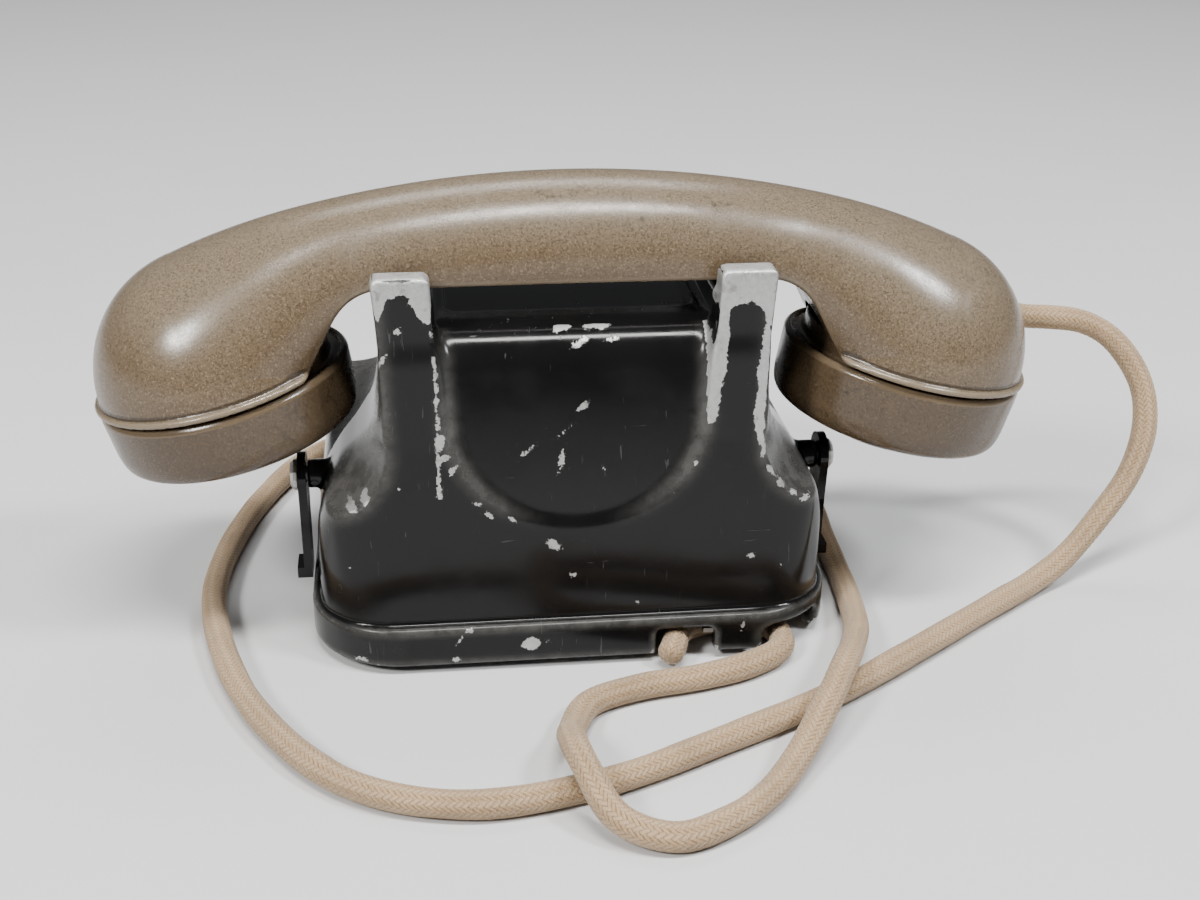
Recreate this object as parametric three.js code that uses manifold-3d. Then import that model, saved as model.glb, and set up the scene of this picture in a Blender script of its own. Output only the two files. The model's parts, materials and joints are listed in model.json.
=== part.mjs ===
// A desk telephone in an enamelled cast housing, with a cradle of four cast prongs, an arched
// handset, a braided cord and a rotary dial on the sloping side.
// Millimetres. X runs along the handset, Y from the steep back towards the dial, Z up.
// The origin is the centre of the flat tray pressed into the base plate.
import * as THREE from 'three';
import { mergeVertices } from 'three/addons/utils/BufferGeometryUtils.js';
import Module from 'manifold-3d';

const wasm = await Module();
wasm.setup();

// ---------------------------------------------------------------- driving dimensions
const TRAY_Y = 34;            // the origin lies this far behind the handset's axis
const FLOOR = -1.5;           // the feet stand this far below the tray
const FLANGE_TOP = 11.5;
const FLANGE_BOTTOM = 0.5;
const FLANGE = { halfWidth: 68, near: -39.5, far: 97, corner: 24 };
const SKIRT = { halfWidth: 66.7, near: -38, far: 95.5, corner: 22.5 };
const PLATFORM = 85.5;        // top of the body between the prongs
const WALL = 3;

const PRONG = { inner: 35, outer: 49, tip: 100, nearTip: -27.8, root: 62, thickness: 6.6 };
const SADDLE_TOP = 93;
const TROUGH = { halfWidth: 31, near: -10, far: 24, depth: 1.2 };   // room for fingers under the grip
const RECESS = { halfWidth: 32.8, bottom: 36, lean: 11 };

const SLOPE = { topY: 31, topZ: 84, footY: 88 };   // 45 degree face that carries the dial
const DIAL = { y: 59.5, z: 55.5, radius: 38, hole: 31, caseRadius: 29, caseDepth: 24 };

const GRIP = { top: 117.5, radius: 18.5, arch: 268, flat: 94.2 };
const EAR = { x: 89, z: 67.6, tilt: 13, rimRadius: 32.7, capRadius: 32.2 };
const CAP_HEIGHT = { ear: 17.5, mouth: 19.3 };
const HANDSET_SHIFT = 1.4;    // the handset lies this far to one side on its cradle

// The scoops that clear the caps; their edges lean outwards away from the prongs.
const SCOOP = { floor: 39.6, top: 76, nearLine: -32, farLine: 34, nearLean: 0.42, farLean: 0.15 };

const PLUNGER = { x: 40.5, radius: 3, bore: 3.3, collar: 3.6 };
const YOKE = { y: -20, z: 58, knuckle: 3.2, pin: 1.5, bore: 1.8, halfThick: 1.2 };
const LATCH = { y: -1, z: 38, x: 68.4, thickness: 2.2, boss: 3.8, bossRoot: 60, bore: 2.3, foot: 9 };

const PLATE = { bottom: 8.5, thickness: 1.5, inset: 4.5 };
const TRAY = { halfWidth: 36, near: -8, far: 76, wall: 1.5 };
const FEET = [[-48, -10], [48, -10], [-48, 72], [48, 72]];
const BOSSES = [[-55.5, -25.5], [55.5, -25.5], [-55.5, 83], [55.5, 83]];
const NOTCH = { x0: 19.5, x1: 35, top: 8.2 };
const SIDE_NOTCH = { x: 54, y: -32, width: 19, turn: 40, top: 7.4 };

const RINGER = { gongX: 26, gongY: -10, gongRadius: 20, rim: 18, pivotY: 20, coilX: 11, coilZ: 22 };
const FINGER = { holes: 10, ring: 25, radius: 5.6, wheel: 34, first: 240, step: 27, stop: 150 };

const CORD_RADIUS = 3.5;
const GAP = 0.3;              // clearance between parts that move or only touch
const DECK = PLATE.bottom + PLATE.thickness + GAP;
const LYING = FLOOR + CORD_RADIUS;

const DEG = Math.PI / 180;

// ---------------------------------------------------------------- materials
const enamel = () => finish(0x0b0b0c, 0.25, 0.1);
const ebonite = () => finish(0x8c7a66, 0.38, 0);
const darkEbonite = () => finish(0x5b4c3d, 0.42, 0);
const blackPlastic = () => finish(0x141312, 0.35, 0);
const steel = () => finish(0x9a9b9c, 0.35, 1);
const brass = () => finish(0xb08d4a, 0.35, 1);
const copperWinding = () => finish(0x7a2f1d, 0.55, 0.2);
const rubber = () => finish(0x1c1b1a, 0.85, 0);
const braid = () => finish(0xb59a78, 0.9, 0);
const porcelain = () => finish(0xe9e4d6, 0.3, 0);

function finish(color, roughness, metalness) {
  return new THREE.MeshStandardMaterial({ color, roughness, metalness });
}

// ---------------------------------------------------------------- solids
function solid(geometry) {
  const bare = geometry.clone();
  bare.deleteAttribute('normal');
  bare.deleteAttribute('uv');
  const merged = mergeVertices(bare, 1e-4);
  const vertProperties = new Float32Array(merged.attributes.position.array);
  const triVerts = new Uint32Array(merged.index.array);
  return new wasm.Manifold(new wasm.Mesh({ numProp: 3, vertProperties, triVerts }));
}

function geometryOf(body) {
  const mesh = body.getMesh();
  const geometry = new THREE.BufferGeometry();
  geometry.setAttribute('position', new THREE.BufferAttribute(new Float32Array(mesh.vertProperties), 3));
  geometry.setIndex(new THREE.BufferAttribute(new Uint32Array(mesh.triVerts), 1));
  geometry.computeVertexNormals();
  return geometry;
}

function join(...geometries) {
  return geometryOf(geometries.map(solid).reduce((whole, next) => whole.add(next)));
}

function cut(geometry, ...tools) {
  return geometryOf(tools.map(solid).reduce((rest, tool) => rest.subtract(tool), solid(geometry)));
}

function common(...geometries) {
  return geometryOf(geometries.map(solid).reduce((whole, next) => whole.intersect(next)));
}

function mesh(name, geometry, material) {
  const node = new THREE.Mesh(geometry, material);
  node.name = name;
  return node;
}

// A box given by its lowest and highest corners.
function box(x0, x1, y0, y1, z0, z1) {
  const geometry = new THREE.BoxGeometry(x1 - x0, y1 - y0, z1 - z0);
  return geometry.translate((x0 + x1) / 2, (y0 + y1) / 2, (z0 + z1) / 2);
}

// A cylinder that stands on Z, from z0 to z1.
function post(x, y, z0, z1, radius, sides = 20) {
  const geometry = new THREE.CylinderGeometry(radius, radius, z1 - z0, sides);
  return geometry.rotateX(Math.PI / 2).translate(x, y, (z0 + z1) / 2);
}

// A cylinder that lies along X, from x0 to x1.
function rodX(x0, x1, y, z, radius, sides = 16) {
  const geometry = new THREE.CylinderGeometry(radius, radius, x1 - x0, sides);
  return geometry.rotateZ(Math.PI / 2).translate((x0 + x1) / 2, y, z);
}

// A cylinder that lies along Y, from y0 to y1.
function rodY(x, y0, y1, z, radius, sides = 16) {
  return new THREE.CylinderGeometry(radius, radius, y1 - y0, sides).translate(x, (y0 + y1) / 2, z);
}

// A body of revolution about Z, from [radius, height] pairs that start and end on the axis.
function turned(profile, sides = 32) {
  const points = profile.map(([radius, height]) => new THREE.Vector2(radius, height));
  return new THREE.LatheGeometry(points, sides).rotateX(Math.PI / 2);
}

function shapeOf(points) {
  return new THREE.Shape(points.map(([u, v]) => new THREE.Vector2(u, v)));
}

// An outline in X and Y, raised from z0 to z1.
function raised(shape, z0, z1, curveSegments = 6) {
  const geometry = new THREE.ExtrudeGeometry(shape, { depth: z1 - z0, bevelEnabled: false, curveSegments });
  return geometry.translate(0, 0, z0);
}

// An outline in X and Z, swept along Y from y0 to y1.
function sweptY(shape, y0, y1, curveSegments = 8) {
  const geometry = new THREE.ExtrudeGeometry(shape, { depth: y1 - y0, bevelEnabled: false, curveSegments });
  return geometry.rotateX(Math.PI / 2).translate(0, y1, 0);
}

// An outline in Y and Z, swept along X from x0 to x1.
function sweptX(shape, x0, x1, curveSegments = 8) {
  const geometry = new THREE.ExtrudeGeometry(shape, { depth: x1 - x0, bevelEnabled: false, curveSegments });
  return geometry.rotateX(Math.PI / 2).rotateZ(Math.PI / 2).translate(x0, 0, 0);
}

function roundedOutline({ halfWidth, near, far, corner }, inset = 0) {
  const x = halfWidth - inset;
  const y0 = near + inset;
  const y1 = far - inset;
  const r = corner - inset;
  const shape = new THREE.Shape();
  shape.moveTo(-x + r, y0);
  shape.lineTo(x - r, y0);
  shape.absarc(x - r, y0 + r, r, -Math.PI / 2, 0, false);
  shape.lineTo(x, y1 - r);
  shape.absarc(x - r, y1 - r, r, 0, Math.PI / 2, false);
  shape.lineTo(-x + r, y1);
  shape.absarc(-x + r, y1 - r, r, Math.PI / 2, Math.PI, false);
  shape.lineTo(-x, y0 + r);
  shape.absarc(-x + r, y0 + r, r, Math.PI, 1.5 * Math.PI, false);
  return shape;
}

// ---------------------------------------------------------------- housing
// Seen from the front: straight skirt, round shoulder, then a flank that leans in under the caps.
function frontOutline(inset) {
  const flank = [
    [66.5, 12], [66, 31], [64, 38], [59.6, 46], [54.4, 53], [50.6, 59.5], [48.3, 67], [47.4, 77],
  ].map(([x, z]) => [x - inset, z]);
  const foot = [SKIRT.halfWidth - inset, FLANGE_BOTTOM - inset];
  const half = [foot, ...flank, [47.4 - inset, PLATFORM - inset]];
  return shapeOf([...half, ...half.map(([x, z]) => [-x, z]).reverse()]);
}

// Seen from the side: a back that leans in slightly, the platform and the sloping dial face.
function sideOutline() {
  return shapeOf([
    [-38, FLANGE_BOTTOM], [SKIRT.far, FLANGE_BOTTOM], [94, 15], [91.5, 22],
    [SLOPE.footY, 27], [SLOPE.topY, SLOPE.topZ], [28, PLATFORM],
    [-28.6, PLATFORM], [-30.3, 66], [-34.2, 39], [-37.6, 12],
  ]);
}

function hollowOutline() {
  return shapeOf([
    [-35, FLANGE_BOTTOM - WALL], [92.5, FLANGE_BOTTOM - WALL], [91, 15], [88.5, 21.5],
    [SLOPE.footY - 2, 24.8], [SLOPE.topY - 1.4, SLOPE.topZ - 3.4], [26, PLATFORM - 3.5],
    [-20, PLATFORM - 3.5], [-24, 66], [-31, 37], [-34.4, 12],
  ]);
}

// The leaf-shaped scoops that clear the caps: everything outside their edge curve, swept
// backwards and outwards. side is 1 or -1 in X, end is -1 for the near corner, 1 for the far one.
function scoop(side, end, inset) {
  const { floor, top, nearLine, farLine, nearLean, farLean } = SCOOP;
  const edge = [
    [47.6, top], [46.6, 66], [46.6, 60], [47.6, 55], [50, 49], [54, 43.5], [58.5, 40.6], [63, floor],
  ];
  const drop = inset * 0.6;
  const inner = edge.map(([x, z]) => [side * (x - inset), z - drop]);
  const shape = shapeOf([...inner, [side * 90, floor - drop], [side * 90, top]]);
  const near = end < 0;
  const lean = side * (near ? nearLean : -farLean);
  const line = near ? nearLine : farLine;
  const geometry = near ? sweptY(shape, -70, -5) : sweptY(shape, 5, 110);
  const shear = new THREE.Matrix4().set(1, lean, 0, -lean * line, 0, 1, 0, 0, 0, 0, 1, 0, 0, 0, 0, 1);
  return geometry.applyMatrix4(shear);
}

function envelope(outline, front, side, inset) {
  const body = common(raised(outline, -10, 100), sweptY(front, -60, 120), sweptX(side, -90, 90));
  const scoops = [];
  for (const x of [-1, 1]) {
    for (const y of [-1, 1]) {
      scoops.push(scoop(x, y, inset));
    }
  }
  return cut(body, ...scoops);
}

// One cast prong: it grows out of the body and flares a little at its tip.
function prong(side, end) {
  const { inner, outer, tip, nearTip, root, thickness } = PRONG;
  const back = nearTip + thickness;
  const profile = [
    [nearTip - 3.6, root], [nearTip - 0.8, 88], [nearTip, tip - 1.2], [nearTip + 1.2, tip],
    [back - 1, tip], [back, tip - 1.2], [back, root],
  ].map(([y, z]) => [end * -y, z]);
  const x0 = side > 0 ? inner : -outer;
  return sweptX(shapeOf(profile), x0, x0 + outer - inner);
}

// The saddle that joins a near prong to its far one, under the grip of the handset.
function saddle(side) {
  const x0 = side > 0 ? PRONG.inner : -PRONG.outer + 1.4;
  const width = PRONG.outer - PRONG.inner - 1.4;
  return box(x0, x0 + width, -24, 24, PLATFORM - 2, SADDLE_TOP);
}

// The shallow finger recess between the prongs, deepest under the platform's edge.
function fingerRecess() {
  const { halfWidth, bottom, lean } = RECESS;
  const straight = bottom + halfWidth * 0.86;
  const shape = new THREE.Shape();
  shape.moveTo(halfWidth, 110);
  shape.lineTo(-halfWidth, 110);
  shape.lineTo(-halfWidth, straight);
  shape.bezierCurveTo(-halfWidth, bottom + 13, -19, bottom, 0, bottom);
  shape.bezierCurveTo(19, bottom, halfWidth, bottom + 13, halfWidth, straight);
  const geometry = sweptY(shape, -40, 0);
  return geometry.translate(0, 0, -bottom).rotateX(-lean * DEG).translate(0, -34.7, bottom);
}

// A disc-shaped tool square to the dial face; depth runs into the housing.
function dialTool(radius, above, below, sides = 32) {
  const geometry = new THREE.CylinderGeometry(radius, radius, above + below, sides).rotateX(Math.PI / 2);
  return geometry.translate(0, 0, (above - below) / 2).rotateX(-Math.PI / 4).translate(0, DIAL.y, DIAL.z);
}

function latchBoss(side) {
  const tip = LATCH.x - GAP;
  const x0 = side > 0 ? LATCH.bossRoot : -tip;
  return rodX(x0, x0 + tip - LATCH.bossRoot, LATCH.y, LATCH.z, LATCH.boss);
}

// Everything cut from the finished casting: dial, finger trough, cord notches, plungers and screws.
function housingOpenings() {
  const { x, y, width, turn, top } = SIDE_NOTCH;
  const screwBores = [-1, 1].map((side) => {
    const reach = [side * (LATCH.bossRoot + 1), side * 80].sort((a, b) => a - b);
    return rodX(...reach, LATCH.y, LATCH.z, LATCH.bore, 12);
  });
  return [
    dialTool(DIAL.hole, 12, 14),
    box(-TROUGH.halfWidth, TROUGH.halfWidth, TROUGH.near, TROUGH.far, PLATFORM - TROUGH.depth, PLATFORM + 5),
    box(NOTCH.x0, NOTCH.x1, -45, -30, -5, NOTCH.top),
    box(-width / 2, width / 2, -20, 20, -5, top).rotateZ(turn * DEG).translate(x, y, 0),
    ...[-1, 1].map((side) => post(side * PLUNGER.x, 0, 70, 100, PLUNGER.bore, 16)),
    ...screwBores,
    ...BOSSES.map(([bossX, bossY]) => post(bossX, bossY, 5, 20, 2.1, 12)),
  ];
}

function housing() {
  const flange = raised(roundedOutline(FLANGE), FLANGE_BOTTOM, FLANGE_TOP, 10);
  const outer = envelope(roundedOutline(SKIRT), frontOutline(0), sideOutline(), 0);
  const hollow = envelope(roundedOutline(SKIRT, WALL), frontOutline(WALL), hollowOutline(), WALL);
  const extras = [];
  for (const side of [-1, 1]) {
    extras.push(saddle(side), prong(side, -1), prong(side, 1), latchBoss(side));
  }
  const bosses = BOSSES.map(([x, y]) => post(x, y, DECK, 24, 6, 16));
  const shell = cut(join(flange, outer, ...extras), hollow, fingerRecess());
  return mesh('housing', cut(join(shell, ...bosses), ...housingOpenings()), enamel());
}

// ---------------------------------------------------------------- base
function basePlate() {
  const { bottom, thickness } = PLATE;
  const sheet = raised(roundedOutline(SKIRT, PLATE.inset), bottom, bottom + thickness);
  const { halfWidth, near, far, wall } = TRAY;
  const pan = box(-halfWidth, halfWidth, near, far, 0, bottom + 0.5);
  const dish = box(-halfWidth + wall, halfWidth - wall, near + wall, far - wall, wall, bottom + 5);
  const holes = BOSSES.map(([x, y]) => post(x, y, 0, 20, 2.4, 12));
  const cordHole = post(27, -21, 5, 20, CORD_RADIUS + 1.2, 16);
  return mesh('base_plate', cut(join(sheet, pan), dish, ...holes, cordHole), steel());
}

function feet() {
  const top = PLATE.bottom - GAP;
  const profile = [[0, FLOOR], [6, FLOOR], [7, FLOOR + 1.2], [7.6, top], [0, top]];
  return FEET.map(([x, y], i) => mesh(`foot_${i + 1}`, turned(profile, 14).translate(x, y, 0), rubber()));
}

function baseScrews() {
  const under = PLATE.bottom - GAP;
  const profile = [
    [0, under - 2], [3.2, under - 2], [3.8, under - 1], [3.8, under], [1.8, under], [1.8, 18], [0, 18],
  ];
  return BOSSES.map(([x, y], i) => {
    return mesh(`base_screw_${i + 1}`, turned(profile, 12).translate(x, y, 0), steel());
  });
}

// ---------------------------------------------------------------- side latches
function latch(side) {
  const { y, z, x, thickness, foot } = LATCH;
  const shape = new THREE.Shape();
  shape.moveTo(y + 6, z);
  shape.absarc(y, z, 6, 0, Math.PI, false);
  shape.lineTo(y - 4.4, z - 12);
  shape.lineTo(y - 4, foot);
  shape.lineTo(y + 4, foot);
  shape.lineTo(y + 4.4, z - 12);
  const x0 = side > 0 ? x : -x - thickness;
  const strap = sweptX(shape, x0, x0 + thickness);
  const lipX = side > 0 ? x + 1 : -x - 4;
  const lip = box(lipX, lipX + 3, y - 4, y + 4, foot, foot + 3);
  const hole = rodX(-80, 80, y, z, LATCH.bore, 12);
  const name = side > 0 ? 'right_latch' : 'left_latch';
  return mesh(name, cut(join(strap, lip), hole), enamel());
}

function latchScrew(side) {
  const { y, z, x, thickness } = LATCH;
  const root = LATCH.bossRoot + 2;
  const face = x + thickness + GAP;
  const profile = [
    [0, root], [2, root], [2, face], [4.2, face], [4.2, face + 0.8], [3.2, face + 1.7], [0, face + 1.7],
  ];
  const name = side > 0 ? 'right_latch_screw' : 'left_latch_screw';
  return mesh(name, turned(profile, 12).rotateY(side * Math.PI / 2).translate(0, y, z), steel());
}

// ---------------------------------------------------------------- hook switch
function plunger(side) {
  const { radius: r, collar } = PLUNGER;
  const profile = [
    [0, 60], [r, 60], [r, 70], [collar, 70], [collar, 72.5], [r, 72.5], [r, 92.6], [r - 1, 93.8], [0, 93.8],
  ];
  const name = side > 0 ? 'right_plunger' : 'left_plunger';
  return mesh(name, turned(profile, 12).translate(side * PLUNGER.x, 0, 0), brass());
}

// Knuckles on the pin, a cross plate behind them, an arm under each plunger, one for the contacts.
function hookYoke() {
  const { y, z, knuckle, bore, halfThick } = YOKE;
  const centres = [-PLUNGER.x, 0, PLUNGER.x];
  const half = 2.5;
  const knuckles = centres.map((x) => rodX(x - half, x + half, y, z, knuckle));
  const plate = box(-PLUNGER.x - half, PLUNGER.x + half, y + 5, y + 11, z - halfThick, z + halfThick);
  const arms = centres.map((x) => {
    return box(x - half, x + half, y, x === 0 ? -6 : half, z - halfThick, z + halfThick);
  });
  const hole = rodX(-60, 60, y, z, bore, 12);
  return mesh('hook_yoke', cut(join(plate, ...knuckles, ...arms), hole), steel());
}

function hookPin() {
  return mesh('hook_pin', rodX(-46, 46, YOKE.y, YOKE.z, YOKE.pin, 12), steel());
}

// Hangs under the platform: two lugs for the pin and a block for the contact springs.
function hookBracket() {
  const { y, z, bore } = YOKE;
  const under = PLATFORM - 3.5 - GAP;
  const plate = box(-16, 16, y + 0.5, 20, under - 1.6, under);
  const block = box(-9, 9, 4, 20, 50, under - 1);
  const lugs = [-12, 12].flatMap((x) => [
    box(x - 2, x + 2, y - 2.6, y + 3.6, z - 4, z + 9),
    box(x - 2, x + 2, y + 0.5, y + 3.6, z + 8, under - 1),
  ]);
  return mesh('hook_bracket', cut(join(plate, block, ...lugs), rodX(-20, 20, y, z, bore, 12)), steel());
}

function contactSprings() {
  const blades = [0, 1, 2, 3].map((i) => box(-6, 6, -14 + i, 3.2, 64 + i * 3.4, 64.5 + i * 3.4));
  const stack = box(-7, 7, -1, 3.6, 63, 76);
  return mesh('contact_springs', join(stack, ...blades), brass());
}

// ---------------------------------------------------------------- ringer
function gong(side) {
  const { gongX, gongY, gongRadius: r, rim } = RINGER;
  const profile = [
    [2.8, rim + 12.4], [2.8, rim + 11], [9, rim + 10.4], [15, rim + 7.5], [r - 1.4, rim],
    [r, rim], [16.2, rim + 8.6], [9.6, rim + 12], [2.8, rim + 12.4],
  ];
  const name = side > 0 ? 'right_gong' : 'left_gong';
  return mesh(name, turned(profile, 20).translate(side * gongX, gongY, 0), steel());
}

function gongPost(side) {
  const { gongX, gongY, rim } = RINGER;
  const under = rim + 11 - GAP;
  const over = rim + 12.4 + GAP;
  const profile = [
    [0, DECK], [5, DECK], [5, DECK + 2], [3.6, DECK + 3], [3.6, under], [2.4, under],
    [2.4, over], [4.5, over], [4, over + 2], [0, over + 2],
  ];
  const name = side > 0 ? 'right_gong_post' : 'left_gong_post';
  return mesh(name, turned(profile, 12).translate(side * gongX, gongY, 0), brass());
}

function coil(side) {
  const { coilX, coilZ, pivotY } = RINGER;
  const x = side * coilX;
  const y0 = pivotY + 5;
  const winding = rodY(x, y0 + 2, y0 + 20, coilZ, 7);
  const cheeks = [y0, y0 + 19].map((y) => rodY(x, y, y + 1.6, coilZ, 8.5));
  const core = rodY(x, y0 - 1.5, y0 + 21, coilZ, 2.6);
  return mesh(side > 0 ? 'right_coil' : 'left_coil', join(winding, ...cheeks, core), copperWinding());
}

// An angle of sheet steel that closes the magnetic circuit behind the coils.
function ringerYoke() {
  const y0 = RINGER.pivotY + 26.3;
  const upright = box(-20, 20, y0, y0 + 3, DECK, 32);
  const sole = box(-20, 20, y0 - 14, y0 + 1, DECK, DECK + 2);
  return mesh('ringer_yoke', join(upright, sole), steel());
}

function ringerMagnet() {
  const y0 = RINGER.pivotY - 5;
  return mesh('ringer_magnet', box(-6, 6, y0, y0 + 16.5, DECK, DECK + 4), steel());
}

function clapper() {
  const { pivotY, gongY } = RINGER;
  const armature = box(-18, 18, pivotY - 2, pivotY + 1.4, 17, 27);
  const arm = rodY(0, gongY, pivotY, 20, 1, 8);
  const ball = new THREE.SphereGeometry(2.6, 12, 8).translate(0, gongY, 20);
  const bore = post(0, pivotY - 0.4, 10, 40, 1.1, 12);
  return mesh('clapper', cut(join(armature, arm, ball), bore), steel());
}

function clapperPivot() {
  return mesh('clapper_pivot', post(0, RINGER.pivotY - 0.4, DECK + 4 + GAP, 30, 0.8, 12), steel());
}

// ---------------------------------------------------------------- speech circuit
function inductionCoil() {
  const body = join(rodY(-48, 32, 68, 20, 8.5), rodY(-48, 30, 33, 20, 9.4), rodY(-48, 67, 70, 20, 9.4));
  return mesh('induction_coil', body, copperWinding());
}

function capacitor() {
  return mesh('capacitor', box(38, 58, 28, 66, DECK, 36), steel());
}

function terminalStrip() {
  const block = box(-24, 24, 80, 88, DECK, DECK + 6);
  const screws = [-18, -9, 0, 9, 18].map((x) => post(x, 84, DECK + 5, DECK + 7.5, 2.4, 10));
  return mesh('terminal_strip', join(block, ...screws), darkEbonite());
}

// ---------------------------------------------------------------- dial
// The dial's own frame has Z along its spindle, with the housing's slope at zero height.

function dialCase() {
  const { radius, caseRadius, caseDepth } = DIAL;
  const profile = [
    [3.2, 1.9], [3.2, 1 - caseDepth], [caseRadius - 3, 1 - caseDepth], [caseRadius, 3 - caseDepth],
    [caseRadius, GAP], [radius, GAP], [radius, 1], [radius - 1.2, 1.9], [3.2, 1.9],
  ];
  return mesh('dial_case', turned(profile, 32), enamel());
}

function numberPlate() {
  const profile = [[6, 2.2], [36, 2.2], [36, 3], [6, 3], [6, 2.2]];
  return mesh('number_plate', turned(profile, 28), porcelain());
}

function fingerWheel() {
  const { holes: count, ring, radius, wheel, first, step } = FINGER;
  const disc = turned([[0, 5], [wheel, 5], [wheel, 6], [wheel - 1, 6.8], [0, 6.8]], 32);
  const holes = [];
  for (let i = 0; i < count; i += 1) {
    const angle = (first + i * step) * DEG;
    holes.push(post(ring * Math.cos(angle), ring * Math.sin(angle), 0, 12, radius, 12));
  }
  return mesh('finger_wheel', cut(disc, ...holes), steel());
}

function dialSpindle() {
  const bottom = -DIAL.caseDepth - 1;
  const profile = [[0, bottom], [2.6, bottom], [2.6, 4.7], [0, 4.7]];
  return mesh('dial_spindle', turned(profile, 12), brass());
}

function dialCentre() {
  const profile = [[0, 7.1], [14, 7.1], [14, 8], [12.5, 9], [0, 9.6]];
  return mesh('dial_centre', turned(profile, 28), steel());
}

function fingerStop() {
  const arm = box(-2.5, 2.5, -37, -21, 7.4, 8.6);
  const foot = box(-2.5, 2.5, -37, -35.2, 3.3, 8.6);
  return mesh('finger_stop', join(arm, foot).rotateZ((FINGER.stop - 270) * DEG), steel());
}

function dial() {
  const group = new THREE.Group();
  group.position.set(0, DIAL.y, DIAL.z);
  group.rotation.x = -Math.PI / 4;
  group.rotation.order = 'ZYX';
  group.add(dialCase(), numberPlate(), fingerWheel(), dialSpindle(), dialCentre(), fingerStop());
  return group;
}

// ---------------------------------------------------------------- handset
// Round arch of the grip, measured along the handset's own X.
function archHeight(x) {
  return GRIP.top - GRIP.radius - GRIP.arch + Math.sqrt(GRIP.arch ** 2 - x ** 2);
}

function gripTube() {
  const points = [];
  for (let x = -84; x <= 84; x += 14) {
    points.push(new THREE.Vector3(x, 0, archHeight(x)));
  }
  const section = new THREE.Shape();
  section.absellipse(0, 0, GRIP.radius, GRIP.radius, 0, Math.PI * 2, false);
  return new THREE.ExtrudeGeometry(section, {
    steps: 16, curveSegments: 10, bevelEnabled: false, extrudePath: new THREE.CatmullRomCurve3(points),
  });
}

// Turns and moves a piece from the frame of one cap: Z along its axis, zero at the rim.
function atEar(geometry, side) {
  return geometry.rotateY(side * EAR.tilt * DEG).translate(side * EAR.x, 0, EAR.z);
}

function bulb(side) {
  const profile = [[0, 0], [EAR.rimRadius, 0], [EAR.rimRadius, 1.6]];
  for (let step = 1; step <= 6; step += 1) {
    const angle = (step / 6) * 90 * DEG;
    profile.push([32 * Math.cos(angle), 1.6 + 31.6 * Math.sin(angle)]);
  }
  profile[profile.length - 1][0] = 0;
  return atEar(turned(profile, 28), side);
}

// The hollow under the grip: flat below the hand, then down the inner faces of both ends.
function underCut() {
  const half = [[72, 60], [67.5, 70.8], [64.2, 77], [61.2, 83], [58.2, 89], [55.2, 93], [50.5, GRIP.flat]];
  const outline = [...half, ...half.map(([x, z]) => [-x, z]).reverse()];
  return sweptY(shapeOf(outline), -45, 45);
}

// Turns a piece outwards along the cord's exit from the end of the handset.
function atBush(geometry) {
  return geometry.rotateY(90 * DEG).rotateZ(32 * DEG).translate(113.2, 17.8, 69.5);
}

function handsetShell() {
  const bores = [-1, 1].map((side) => {
    return atEar(turned([[0, -2], [28.1, -2], [28.1, 6], [24, 15], [0, 15]], 28), side);
  });
  const belowRims = [-1, 1].map((side) => atEar(post(0, 0, -40, 0, 46, 24), side));
  const bushSeat = atBush(post(0, 0, -GAP, 12, 6 + GAP, 16));
  const whole = join(gripTube(), bulb(-1), bulb(1));
  return mesh('handset_shell', cut(whole, underCut(), ...belowRims, ...bores, bushSeat), ebonite());
}

function capHeight(side) {
  return side > 0 ? CAP_HEIGHT.mouth : CAP_HEIGHT.ear;
}

function cap(side) {
  const r = EAR.capRadius;
  const h = capHeight(side);
  const hole = 6;
  const profile = [
    [hole, -h], [r - 5, -h], [r - 2, -h + 1], [r - 0.8, -h + 3.5], [r, -1.2], [r - 1, -0.5],
    [27.5, -0.5], [27.5, 4], [25.5, 4], [25.5, -h + 4], [hole, -h + 3], [hole, -h],
  ];
  const name = side > 0 ? 'mouthpiece_cap' : 'earpiece_cap';
  return mesh(name, atEar(turned(profile, 28), side), darkEbonite());
}

function capsule(side) {
  const bottom = -capHeight(side) + 5;
  const profile = [[0, bottom], [23.5, bottom], [23.5, -3], [20, 3], [0, 3]];
  const name = side > 0 ? 'transmitter_capsule' : 'receiver_capsule';
  return mesh(name, atEar(turned(profile, 24), side), steel());
}

function mouthInsert() {
  const face = -CAP_HEIGHT.mouth - GAP;
  const profile = [
    [0, face - 1.8], [9, face - 2.2], [16.5, face - 3.6], [19.6, face - 2.4], [20, face], [0, face],
  ];
  return mesh('mouthpiece_insert', atEar(turned(profile, 28), 1), blackPlastic());
}

function cordBush() {
  const bore = CORD_RADIUS + GAP;
  const profile = [[bore, 0], [6, 0], [5.4, 6], [bore, 7], [bore, 0]];
  return mesh('cord_bush', atBush(turned(profile, 16)), blackPlastic());
}

function handset() {
  const group = new THREE.Group();
  group.position.x = HANDSET_SHIFT;
  group.add(handsetShell(), mouthInsert(), cordBush());
  for (const side of [-1, 1]) {
    group.add(cap(side), capsule(side));
  }
  return group;
}

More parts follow.
